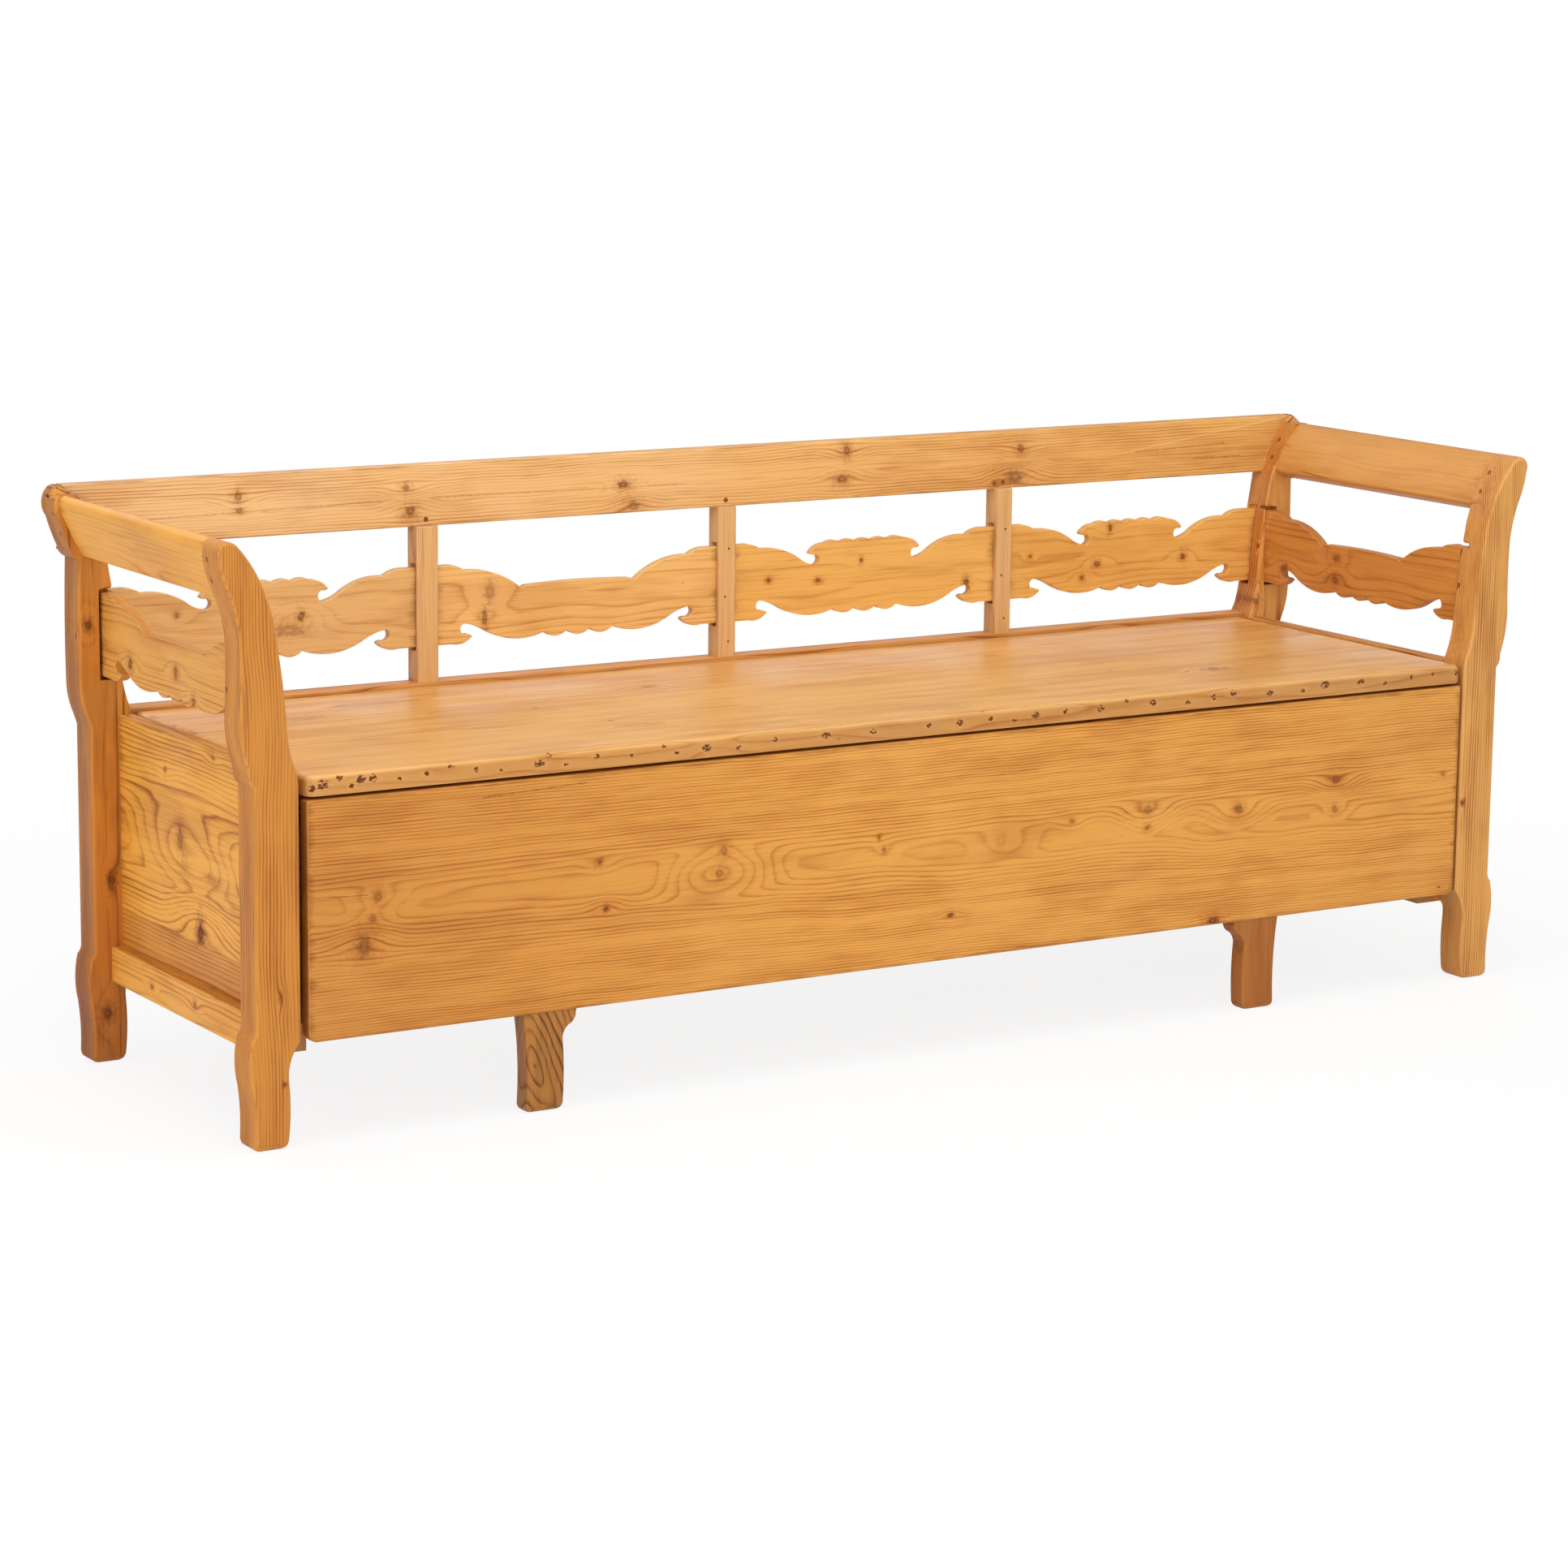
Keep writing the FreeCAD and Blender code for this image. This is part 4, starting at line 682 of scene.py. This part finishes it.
# places are in the bench's own frame; a knot has its place along and across the board, half
# length, half height, reach and strength of the bend of the grain round it, and darkness
FRONT_KNOTS = [
    (-0.830, 0.312, 0.008, 0.010, 0.034, 0.80, 0.55),
    (-0.838, 0.285, 0.007, 0.006, 0.026, 0.70, 0.55),
    (-0.850, 0.250, 0.014, 0.020, 0.038, 0.75, 0.60),
    (-0.510, 0.325, 0.005, 0.005, 0.022, 0.70, 0.70),
    (-0.500, 0.262, 0.005, 0.004, 0.022, 0.75, 0.90),
    (-0.322, 0.322, 0.007, 0.011, 0.022, 0.55, 0.50),
    (-0.328, 0.292, 0.008, 0.008, 0.066, 0.99, 0.55),
    (-0.070, 0.298, 0.004, 0.005, 0.020, 0.70, 0.65),
    (-0.078, 0.316, 0.003, 0.005, 0.015, 0.60, 0.55),
    (0.040, 0.196, 0.006, 0.004, 0.022, 0.75, 0.90),
    (0.122, 0.292, 0.012, 0.015, 0.050, 0.70, 0.18),
    (0.240, 0.308, 0.006, 0.004, 0.022, 0.70, 0.55),
    (0.370, 0.313, 0.009, 0.009, 0.042, 0.90, 0.50),
    (0.370, 0.286, 0.006, 0.006, 0.024, 0.80, 0.65),
    (0.530, 0.297, 0.009, 0.008, 0.042, 0.90, 0.65),
    (0.705, 0.325, 0.010, 0.009, 0.036, 0.85, 0.60),
    (0.705, 0.281, 0.007, 0.007, 0.028, 0.80, 0.50),
    (0.905, 0.315, 0.005, 0.004, 0.018, 0.70, 0.50),
    (0.490, 0.140, 0.014, 0.007, 0.030, 0.60, 0.90),
]
# a crack has its start along and across the board, run, rise, width and darkness
FRONT_CRACKS = [
    (-0.680, 0.426, 0.150, 0.006, 0.0013, 0.5),
    (-0.900, 0.318, 0.055, -0.002, 0.0008, 0.6),
    (0.120, 0.385, 0.060, 0.002, 0.0007, 0.4),
]
front_pine = pine(
    "Front board pine", "XZY", pith=(0.290, -0.240), shade=(196, 129, 58), ring=0.0038,
    wander=0.026, drift=0.014, contrast=0.95, seed=3.1, knots=FRONT_KNOTS, cracks=FRONT_CRACKS,
    dirt_and_shade=("drawer_front", 0.010, 0.006), eaten=(0.215, 0.150, 0.35),
    far_shade=(-0.9, -0.1, (215, 149, 70)))
shown("drawer_front", "drawer-front", front_pine, "pine_front", **HANDLED_ARRIS)


# Lid

LID_KNOTS = [
    (-0.396, -0.107, 0.003, 0.003, 0.010, 0.4, 1.00),
    (-0.377, -0.153, 0.050, 0.016, 0.060, 0.7, 0.22),
    (-0.335, -0.252, 0.060, 0.012, 0.040, 0.6, 0.18),
    (0.588, -0.138, 0.014, 0.012, 0.060, 0.85, 0.60),
    (0.590, -0.140, 0.060, 0.040, 0.070, 0.3, 0.14),
    (0.049, -0.228, 0.060, 0.020, 0.050, 0.5, 0.16),
    (-0.131, -0.191, 0.040, 0.012, 0.040, 0.4, 0.14),
]
LID_BACK_KNOTS = [
    (-0.214, 0.108, 0.014, 0.012, 0.060, 0.8, 0.25),
    (-0.749, 0.101, 0.040, 0.014, 0.060, 0.7, 0.25),
    (0.369, 0.110, 0.010, 0.008, 0.040, 0.6, 0.20),
]
# torn spots of the front edge: place along the bench, height, half length, half height
TORN_SPOTS = [
    (-0.921, 0.459, 0.008, 0.006), (-0.905, 0.463, 0.012, 0.009), (-0.882, 0.470, 0.007, 0.006),
    (-0.866, 0.458, 0.006, 0.004), (-0.852, 0.466, 0.011, 0.008), (-0.800, 0.461, 0.006, 0.004),
    (-0.725, 0.470, 0.008, 0.003), (-0.655, 0.459, 0.005, 0.003), (-0.560, 0.458, 0.005, 0.003),
    (-0.415, 0.470, 0.007, 0.003), (-0.395, 0.459, 0.005, 0.004), (-0.300, 0.458, 0.007, 0.004),
    (0.140, 0.458, 0.006, 0.003), (0.330, 0.470, 0.006, 0.003), (0.435, 0.459, 0.007, 0.004),
    (0.640, 0.460, 0.006, 0.004), (0.745, 0.464, 0.009, 0.006), (0.790, 0.459, 0.006, 0.004),
    (0.880, 0.466, 0.006, 0.005), (-0.836, 0.465, 0.008, 0.007), (-0.760, 0.464, 0.007, 0.004),
    (-0.690, 0.463, 0.005, 0.005), (-0.600, 0.463, 0.011, 0.007), (-0.585, 0.472, 0.006, 0.005),
    (-0.515, 0.465, 0.007, 0.004), (-0.462, 0.462, 0.005, 0.004), (-0.350, 0.462, 0.010, 0.007),
    (-0.245, 0.464, 0.006, 0.005), (-0.165, 0.463, 0.010, 0.006), (-0.090, 0.462, 0.008, 0.006),
    (0.000, 0.463, 0.006, 0.005), (0.050, 0.462, 0.009, 0.006), (0.100, 0.464, 0.006, 0.005),
    (0.175, 0.463, 0.010, 0.006), (0.225, 0.464, 0.006, 0.005), (0.285, 0.463, 0.008, 0.007),
    (0.375, 0.464, 0.009, 0.006), (0.480, 0.463, 0.007, 0.006), (0.515, 0.466, 0.009, 0.006),
    (0.580, 0.462, 0.011, 0.006), (0.680, 0.465, 0.011, 0.008), (0.838, 0.464, 0.004, 0.005),
    (0.925, 0.464, 0.009, 0.008),
]
TORN_HALF_DEPTH = 0.009
TORN_INSET = 0.001
lid_front = BOXES["lid_front_board"][0][1]
LID_SCARS = [
    ((along, lid_front + TORN_INSET, height), (half_length, TORN_HALF_DEPTH, half_height))
    for along, height, half_length, half_height in TORN_SPOTS]
lid_pine = pine(
    "Lid pine", "XYZ", pith=(-0.080, 0.415), shade=(214, 159, 93), ring=0.0042, wander=0.045,
    contrast=0.90, seed=7.7, knots=LID_KNOTS, scars=LID_SCARS, gloss=0.12, edge=0.44,
    rubbed=0.18, eaten=(-0.272, -0.279, 0.7))
shown("lid_front_board", "lid-front-board", lid_pine, "pine_seat", **HANDLED_ARRIS)
lid_back_pine = pine(
    "Lid back board pine", "XYZ", pith=(0.160, 0.420), shade=(214, 158, 91), ring=0.0042,
    wander=0.04, contrast=0.90, seed=12.4, knots=LID_BACK_KNOTS, gloss=0.12,
    dirt_and_shade=("lid_back_board", 0.012, 0.003))
shown("lid_back_board", "lid-back-board", lid_back_pine, "pine_seat", **JOINTED_ARRIS)


# Rails and boards of the back

RAIL_KNOTS = [
    (-0.769, 0.756, 0.008, 0.009, 0.030, 0.8, 0.60),
    (-0.768, 0.737, 0.007, 0.005, 0.030, 0.8, 0.65),
    (-0.515, 0.754, 0.008, 0.006, 0.030, 0.8, 0.65),
    (-0.509, 0.722, 0.010, 0.010, 0.035, 0.8, 0.75),
    (-0.170, 0.741, 0.013, 0.007, 0.035, 0.8, 0.80),
    (-0.154, 0.709, 0.013, 0.009, 0.030, 0.8, 0.55),
    (0.206, 0.771, 0.008, 0.011, 0.030, 0.8, 0.70),
    (0.198, 0.729, 0.013, 0.008, 0.035, 0.8, 0.70),
    (0.517, 0.758, 0.009, 0.009, 0.030, 0.8, 0.65),
    (0.506, 0.716, 0.022, 0.013, 0.045, 0.8, 0.60),
    (0.470, 0.708, 0.004, 0.004, 0.015, 0.6, 0.75),
]
RAIL_CRACKS = [
    (-0.900, 0.733, 0.360, 0.005, 0.0009, 0.40),
    (-0.480, 0.739, 0.420, -0.003, 0.0008, 0.40),
    (0.730, 0.742, 0.170, 0.006, 0.0010, 0.50),
    (0.840, 0.727, 0.090, 0.000, 0.0010, 0.60),
]
# the rail's paler, greyer tone at its left end, fading towards its right end, is painted light
# and sheen
rail_pine = pine(
    "Back rail pine", "XZY", pith=(0.737, 0.262), shade=(228, 182, 130), ring=0.0044,
    wander=0.020, contrast=0.80, seed=5.2, knots=RAIL_KNOTS, cracks=RAIL_CRACKS,
    dirt_and_shade=("back_top_rail", 0.030, 0.003), far_shade=(-0.9, 0.7, (222, 165, 94)))
shown("back_top_rail", "back-top-rail", rail_pine, "pine_frame", **HANDLED_ARRIS)
ledge_pine = pine(
    "Ledge pine", "XZY", pith=(0.500, 0.330), shade=(210, 146, 82), ring=0.0042, wander=0.03,
    contrast=1.1, seed=15.2, pits=0.08)
shown("back_seat_rail", "back-ledge-rail", ledge_pine, "pine_frame", **BACK_ARRIS)
shown("back_bottom_rail", "back-bottom-rail", ledge_pine, "pine_frame", **BACK_ARRIS)
# height of the pith and seed of each board
BACK_BOARDS = {"back_upper_board": (0.345, 17.0), "back_lower_board": (0.225, 19.0)}
for node, (pith_height, seed) in BACK_BOARDS.items():
    back_pine = pine(
        node.replace("_", " ") + " pine", "XZY", pith=(pith_height, 0.310),
        shade=(206, 144, 84), ring=0.0060, wander=0.05, contrast=1.2, seed=seed, pits=0.08,
        dirt_and_shade=(node, 0.03, 0.006), late_shares=DARK_SHARES)
    shown(node, node.replace("_", "-"), back_pine, "pine_frame", **BACK_ARRIS)


# Splats and stiles of the back

BACK_SPLATS = {
    # splat 1's greyer tone is painted light and sheen on the bench's left side
    1: {"seed": 31.0, "shade": (218, 170, 112), "knots": [
        (-0.676, 0.586, 0.007, 0.009, 0.030, 0.8, 0.75),
        (-0.695, 0.568, 0.026, 0.010, 0.050, 0.8, 0.40),
        (-0.860, 0.600, 0.005, 0.005, 0.020, 0.8, 0.55)]},
    2: {"seed": 33.5, "shade": (230, 179, 112), "knots": [
        (-0.384, 0.600, 0.009, 0.020, 0.040, 0.7, 0.40),
        (-0.392, 0.566, 0.005, 0.016, 0.030, 0.7, 0.65)]},
    3: {"seed": 36.2, "shade": (230, 174, 96), "knots": [
        (0.235, 0.606, 0.004, 0.005, 0.016, 0.7, 0.85),
        (0.160, 0.581, 0.006, 0.004, 0.016, 0.7, 0.80),
        (0.075, 0.587, 0.004, 0.004, 0.016, 0.7, 0.85),
        (0.423, 0.560, 0.006, 0.010, 0.020, 0.7, 0.85)]},
    4: {"seed": 38.9, "shade": (232, 174, 94), "knots": [
        (0.827, 0.575, 0.006, 0.007, 0.024, 0.8, 0.85),
        (0.663, 0.574, 0.008, 0.006, 0.024, 0.8, 0.75),
        (0.636, 0.554, 0.005, 0.005, 0.020, 0.8, 0.80),
        (0.539, 0.593, 0.004, 0.004, 0.014, 0.7, 0.75),
        (0.687, 0.628, 0.004, 0.008, 0.020, 0.7, 0.85),
        (0.622, 0.622, 0.009, 0.010, 0.020, 0.7, 0.60)]},
}
for number, own in BACK_SPLATS.items():
    node = f"back_splat_{number}"
    splat_pine = pine(
        f"Back splat {number} pine", "XZY", pith=(0.590, 0.345), ring=0.0044, wander=0.05,
        contrast=0.80, pits=0.06, dirt_and_shade=(node, 0.016, 0.0005), **own)
    shown(node, f"back-splat-{number}", splat_pine, "pine_frame", **SPLAT_ARRIS)

# place of each stile along the bench, and the pith, beside it and as far back as the stiles
STILES = {"left_stile": -0.485, "middle_stile": 0.0, "right_stile": 0.485}
STILE_PITH_ASIDE, STILE_PITH_BACK = 0.045, 0.262
STILE_SEED = 81
for node, place in STILES.items():
    stile_pine = pine(
        f"{node} pine", "ZXY", pith=(place + STILE_PITH_ASIDE, STILE_PITH_BACK),
        shade=(218, 171, 118), ring=0.0030, wander=0.02, contrast=0.6, seed=STILE_SEED + place,
        dirt_and_shade=(node, 0.010, 0.002))
    shown(node, node.replace("_", "-"), stile_pine, "pine_frame", **BACK_ARRIS)
    if f"{node}_lath" in nodes:
        lath = node.replace("_", "-") + "-lath"
        shown(f"{node}_lath", lath, stile_pine, "pine_frame", **LATH_ARRIS)


# Posts

# the grain runs up, so a knot has its height first and then its place along the bench
POSTS = {
    ("front", "left"): {
        "shade": (195, 125, 51), "late_shares": DARK_SHARES, "contrast": 0.9, "ring": 0.0032,
        "pith": (-0.845, -0.1475), "seed": 39.2275, "edge": 0.0, "knots": [
            (0.197, -0.967, 0.006, 0.003, 0.016, 0.7, 0.40),
            (0.085, -0.962, 0.003, 0.003, 0.010, 0.5, 0.9)]},
    ("back", "left"): {
        "shade": (197, 125, 50), "late_shares": FLAME_SHARES, "contrast": 1.4, "ring": 0.0060,
        # the darker far tone at the foot is painted shade at the bottom of the post
        "pith": (-0.999, 0.3075), "seed": 40.7725, "far_shade": (0.40, 0.08, (178, 104, 40)),
        "knots": [
            (0.600, -1.001, 0.010, 0.006, 0.022, 0.8, 0.90),
            (0.252, -0.973, 0.010, 0.006, 0.024, 0.8, 0.90),
            (0.069, -0.983, 0.011, 0.008, 0.030, 0.8, 0.85)]},
    ("front", "right"): {
        "shade": (212, 150, 80), "late_shares": DARK_SHARES, "contrast": 0.85, "ring": 0.0032,
        "pith": (0.845, -0.1375), "seed": 41.2275, "knots": [
            (0.269, 0.943, 0.005, 0.004, 0.016, 0.7, 0.95)]},
    ("back", "right"): {
        "shade": (204, 136, 66), "late_shares": DARK_SHARES, "contrast": 1.3, "ring": 0.0050,
        "pith": (0.995, 0.3175), "seed": 42.7725, "knots": [
            (0.500, 0.950, 0.008, 0.006, 0.020, 0.8, 0.70)]},
}
for (row, side), own in POSTS.items():
    post_pine = pine(f"{row} {side} post pine", "ZXY", wander=0.014, pits=0.05, **own)
    shown(f"{row}_{side}_post", f"{row}-{side}-post", post_pine, "pine_frame", **POST_ARRIS)


# Arms and closed ends

# distances of the piths from the middle of the bench
ARM_PITH, ARM_SPLAT_PITH, END_PITH, END_LOW_PITH, END_RAIL_PITH = 0.94, 1.04, 0.90, 0.92, 0.955
END_LOW_SEED, END_RAIL_SEED = 65, 67
END_RAIL_KNOTS = [
    (0.099, 0.133, 0.006, 0.005, 0.020, 0.8, 0.70),
    (-0.039, 0.138, 0.006, 0.006, 0.020, 0.8, 0.70),
]
ARMS = {
    "left": {"seed": 50, "shade": (220, 152, 64)},
    "right": {"seed": 52, "shade": (196, 134, 66), "cracks": [
        (0.105, 0.705, 0.060, 0.004, 0.0010, 0.7)]},
}
ARM_SPLATS = {
    "left": {"seed": 54, "shade": (216, 152, 74), "knots": [
        (-0.005, 0.571, 0.006, 0.009, 0.024, 0.8, 0.65),
        (0.142, 0.560, 0.008, 0.011, 0.024, 0.8, 0.85),
        (-0.059, 0.539, 0.006, 0.009, 0.020, 0.8, 0.75)]},
    "right": {"seed": 56, "shade": (190, 124, 56), "knots": [
        (0.056, 0.589, 0.011, 0.008, 0.030, 0.8, 0.65),
        (0.056, 0.556, 0.010, 0.009, 0.028, 0.8, 0.65),
        (0.182, 0.558, 0.011, 0.009, 0.028, 0.8, 0.60)]},
}
END_BOARDS = {
    "left": {"seed": 60, "shade": (226, 158, 66), "knots": [
        (0.036, 0.346, 0.012, 0.020, 0.120, 0.92, 0.60),
        (0.024, 0.312, 0.015, 0.020, 0.060, 0.6, 0.18),
        (-0.025, 0.228, 0.011, 0.020, 0.070, 0.90, 1.00),
        (0.082, 0.427, 0.004, 0.006, 0.020, 0.7, 0.65),
        (-0.070, 0.468, 0.005, 0.004, 0.020, 0.7, 0.50),
        (-0.065, 0.305, 0.020, 0.008, 0.060, 0.7, 0.25)]},
    "right": {"seed": 62, "shade": (204, 138, 62), "knots": [
        (-0.060, 0.330, 0.012, 0.015, 0.090, 0.9, 0.60),
        (0.110, 0.260, 0.010, 0.010, 0.050, 0.8, 0.65)]},
}
for side, sign in (("left", -1), ("right", 1)):
    arm_pine = pine(
        f"{side} arm pine", "YZX", pith=(0.735, sign * ARM_PITH), ring=0.0040, wander=0.03,
        contrast=0.9, dirt_and_shade=(f"{side}_arm_rail", 0.036, 0.0015), **ARMS[side])
    shown(f"{side}_arm_rail", f"{side}-arm-rest", arm_pine, "pine_frame", **ARM_ARRIS)
    arm_splat_pine = pine(
        f"{side} arm splat pine", "YZX", pith=(0.585, sign * ARM_SPLAT_PITH), ring=0.0042,
        wander=0.03, contrast=0.9, dirt_and_shade=(f"{side}_arm_splat", 0.028, 0.002),
        **ARM_SPLATS[side])
    shown(f"{side}_arm_splat", f"{side}-arm-splat", arm_splat_pine, "pine_frame", **SPLAT_ARRIS)
    end_pine = pine(
        f"{side} end pine", "YZX", pith=(0.330, sign * END_PITH), ring=0.0066, wander=0.05,
        contrast=0.95, late_shares=DARK_SHARES, dirt_and_shade=(f"{side}_end_upper_board", 0.024, 0.003),
        **END_BOARDS[side])
    end_low_pine = pine(
        f"{side} lower end pine", "YZX", pith=(0.150, sign * END_LOW_PITH),
        shade=(204, 136, 56), ring=0.0046, wander=0.04, contrast=1.10,
        seed=END_LOW_SEED + sign, pits=0.08, dirt_and_shade=(f"{side}_end_lower_board", 0.015, 0.012))
    end_rail_pine = pine(
        f"{side} end rail pine", "YZX", pith=(0.130, sign * END_RAIL_PITH),
        shade=(224, 156, 68), ring=0.0050, wander=0.03, contrast=1.10,
        seed=END_RAIL_SEED + sign, knots=END_RAIL_KNOTS, pits=0.08,
        dirt_and_shade=(f"{side}_end_rail", 0.040, 0.003))
    for part, material, arris in (("upper-board", end_pine, END_BOARD_ARRIS),
                                  ("lower-board", end_low_pine, END_BOARD_ARRIS),
                                  ("rail", end_rail_pine, END_RAIL_ARRIS)):
        name = f"{side}-end-{part}"
        shown(name.replace("-", "_"), name, material, "pine_frame", **arris)


# Legs of the drawer

DRAWER_LEGS = {
    "left": {"pith": (-0.592, -0.262), "shade": (172, 112, 52), "ring": 0.0120, "wander": 0.06,
             "drift": 0.42, "contrast": 1.25, "seed": 70, "pits": 0.08, "heart": (60, 30, 10),
             "late_shares": SOOTY_SHARES},
    "right": {"pith": (0.640, -0.265), "shade": (168, 102, 44), "ring": 0.0030, "wander": 0.02,
              "contrast": 1.1, "seed": 72, "pits": 0.10},
}
for side, own in DRAWER_LEGS.items():
    leg_pine = pine(f"{side} drawer leg pine", "ZXY", **own)
    shown(f"{side}_drawer_leg", f"{side}-drawer-leg", leg_pine, "pine_front", **LEG_ARRIS)


# Inside of the box, pegs and nails

INNER_WOOD = {"pith": (0.05, 0.10), "shade": (190, 142, 90), "ring": 0.0045, "wander": 0.04,
              "contrast": 0.6}
inner_pine = pine("Inside pine", "XYZ", seed=21.0, **INNER_WOOD)
inner_cross_pine = pine("Inside cross pine", "YXZ", seed=22.0, **INNER_WOOD)
peg_pine = pine("Peg wood", "XYZ", pith=(0.0, 0.0), shade=(132, 76, 34), ring=0.0015,
                wander=0.004, contrast=0.5, seed=1.0)
finish(["back_lid_cleat", "slat_cleat", "front_cross_rail", "rear_batten", "drawer_front_cleat"],
       inner_pine)
finish(["fixed_slats", "moving_slats", "lid_batten_left", "lid_batten_middle",
        "lid_batten_right", "left_runner", "right_runner", "left_drawer_side",
        "right_drawer_side", "left_lid_cleat", "right_lid_cleat"], inner_cross_pine)
finish(["arm_rail_pegs", "arm_splat_pegs", "stile_pegs"], peg_pine)

RUST_SCALE, RUST_DETAIL = 400.0, 3.0
RUST_LEVELS = (0.4, 0.6)
IRON_TONE, RUST_TONE = (52, 40, 32), (96, 62, 38)
IRON_ROUGHNESS = (0.5, 0.8)
IRON_METALLIC = 0.6


def old_iron():
    """Rusty dark iron of hand-made nails."""
    material, tree, shader, coords = new_material("Old iron")
    rust = spread(tree, cloud(tree, coords, RUST_SCALE, RUST_DETAIL), *RUST_LEVELS)
    colour = blend(tree, rust, tone(*IRON_TONE), tone(*RUST_TONE))
    feed(tree, shader.inputs["Base Color"], colour)
    feed(tree, shader.inputs["Roughness"], spread(tree, rust, 0.0, 1.0, *IRON_ROUGHNESS))
    feed(tree, shader.inputs["Metallic"], IRON_METALLIC)
    return material


finish(["lath_nails"], old_iron())


# Floor, light and camera

FLOOR_HALF_WIDTH = 14.0
FLOOR_CLOUDS = 0.6
FLOOR_TONES = (246, 246, 245), (250, 250, 249)
FLOOR_ROUGHNESS, FLOOR_SPECULAR = 0.9, 0.1
# distances between which the floor fades to white, and how white it is at the first
FADE_START, FADE_END, FADE_LEAST = 1.0, 2.4, 0.86
SKY_LIGHT = 0.42
LAMP_TARGET = (0.0, 0.0, 0.4)
# place, width and power of each lamp
LAMPS = {
    "Overhead lamp": ((-0.6, -0.9, 3.8), 3.0, 76),
    "Back lamp": ((-0.8, 4.6, 2.6), 2.8, 34),
    "Front lamp": ((-1.6, -4.8, 2.4), 2.6, 62),
    "Left lamp": ((-4.8, -1.4, 2.0), 2.4, 58),
    "Right lamp": ((4.4, -2.6, 2.0), 2.6, 26),
}
CAMERA_PLACE = (-3.242, -5.156, 1.494)
CAMERA_YAW = math.radians(31.715)
CAMERA_PITCH = math.radians(10.782)
CAMERA_ROLL = math.radians(-0.647)
CAMERA_LENS = 100.81
CAMERA_SENSOR = 36.0


def seen_directly(tree):
    """One for rays of the camera and of shiny surfaces, and zero for the light on the object."""
    rays = put(tree, "ShaderNodeLightPath").outputs
    return calc(tree, "MAXIMUM", rays["Is Camera Ray"], rays["Is Glossy Ray"])


def pale_floor():
    """Nearly white floor that keeps the soft shadow."""
    material, tree, shader, coords = new_material("Pale floor")
    dull, bright = FLOOR_TONES
    shade = blend(tree, cloud(tree, coords, FLOOR_CLOUDS), tone(*dull), tone(*bright))
    feed(tree, shader.inputs["Base Color"], shade)
    feed(tree, shader.inputs["Roughness"], FLOOR_ROUGHNESS)
    feed(tree, shader.inputs["Specular IOR Level"], FLOOR_SPECULAR)
    glow = put(tree, "ShaderNodeEmission")
    feed(tree, glow.inputs["Color"], WHITE)
    distance = vector_calc(tree, "LENGTH", coords)
    white = spread(tree, distance, FADE_START, FADE_END, FADE_LEAST, 1.0)
    mix = put(tree, "ShaderNodeMixShader")
    feed(tree, mix.inputs[0], calc(tree, "MULTIPLY", seen_directly(tree), white))
    feed(tree, mix.inputs[1], shader.outputs[0])
    feed(tree, mix.inputs[2], glow.outputs[0])
    feed(tree, tree.nodes["Material Output"].inputs["Surface"], mix.outputs[0])
    return material


def make_floor():
    """A wide flat floor, which isn't part of the object."""
    shape = bmesh.new()
    bmesh.ops.create_grid(shape, x_segments=1, y_segments=1, size=FLOOR_HALF_WIDTH)
    mesh = bpy.data.meshes.new("floor")
    shape.to_mesh(mesh)
    shape.free()
    mesh.materials.append(pale_floor())
    floor = bpy.data.objects.new("floor", mesh)
    bpy.context.scene.collection.objects.link(floor)


def make_lamp(name, place, width, power):
    """A soft square lamp that faces the bench."""
    light = bpy.data.lights.new(name, "AREA")
    light.shape = "SQUARE"
    light.size = width
    light.energy = power
    lamp = bpy.data.objects.new(name, light)
    lamp.location = place
    towards = Vector(LAMP_TARGET) - Vector(place)
    lamp.rotation_euler = towards.to_track_quat("-Z", "Y").to_euler()
    bpy.context.scene.collection.objects.link(lamp)


def make_sky():
    """An even sky, white to the camera and softer as light."""
    world = bpy.data.worlds.new("Studio")
    world.use_nodes = True
    bpy.context.scene.world = world
    tree = world.node_tree
    background = tree.nodes["Background"]
    strength = spread(tree, seen_directly(tree), 0.0, 1.0, SKY_LIGHT, 1.0, "LINEAR")
    feed(tree, background.inputs["Strength"], strength)
    feed(tree, background.inputs["Color"], WHITE)


def make_camera():
    """The camera of the photograph, from its place and its yaw, pitch and roll."""
    data = bpy.data.cameras.new("Camera")
    data.sensor_width = CAMERA_SENSOR
    data.lens = CAMERA_LENS
    camera = bpy.data.objects.new("Camera", data)
    bpy.context.scene.collection.objects.link(camera)
    ahead = Vector((math.sin(CAMERA_YAW) * math.cos(CAMERA_PITCH),
                    math.cos(CAMERA_YAW) * math.cos(CAMERA_PITCH), -math.sin(CAMERA_PITCH)))
    level = Vector((math.cos(CAMERA_YAW), -math.sin(CAMERA_YAW), 0.0))
    down = ahead.cross(level)
    side_axis = level * math.cos(CAMERA_ROLL) + down * math.sin(CAMERA_ROLL)
    up_axis = level * math.sin(CAMERA_ROLL) - down * math.cos(CAMERA_ROLL)
    turn = Matrix((side_axis, up_axis, -ahead)).transposed()
    camera.matrix_world = Matrix.Translation(CAMERA_PLACE) @ turn.to_4x4()
    bpy.context.scene.camera = camera


make_floor()
for name, (place, width, power) in LAMPS.items():
    make_lamp(name, place, width, power)
make_sky()
make_camera()
bpy.context.scene.view_settings.view_transform = "Standard"
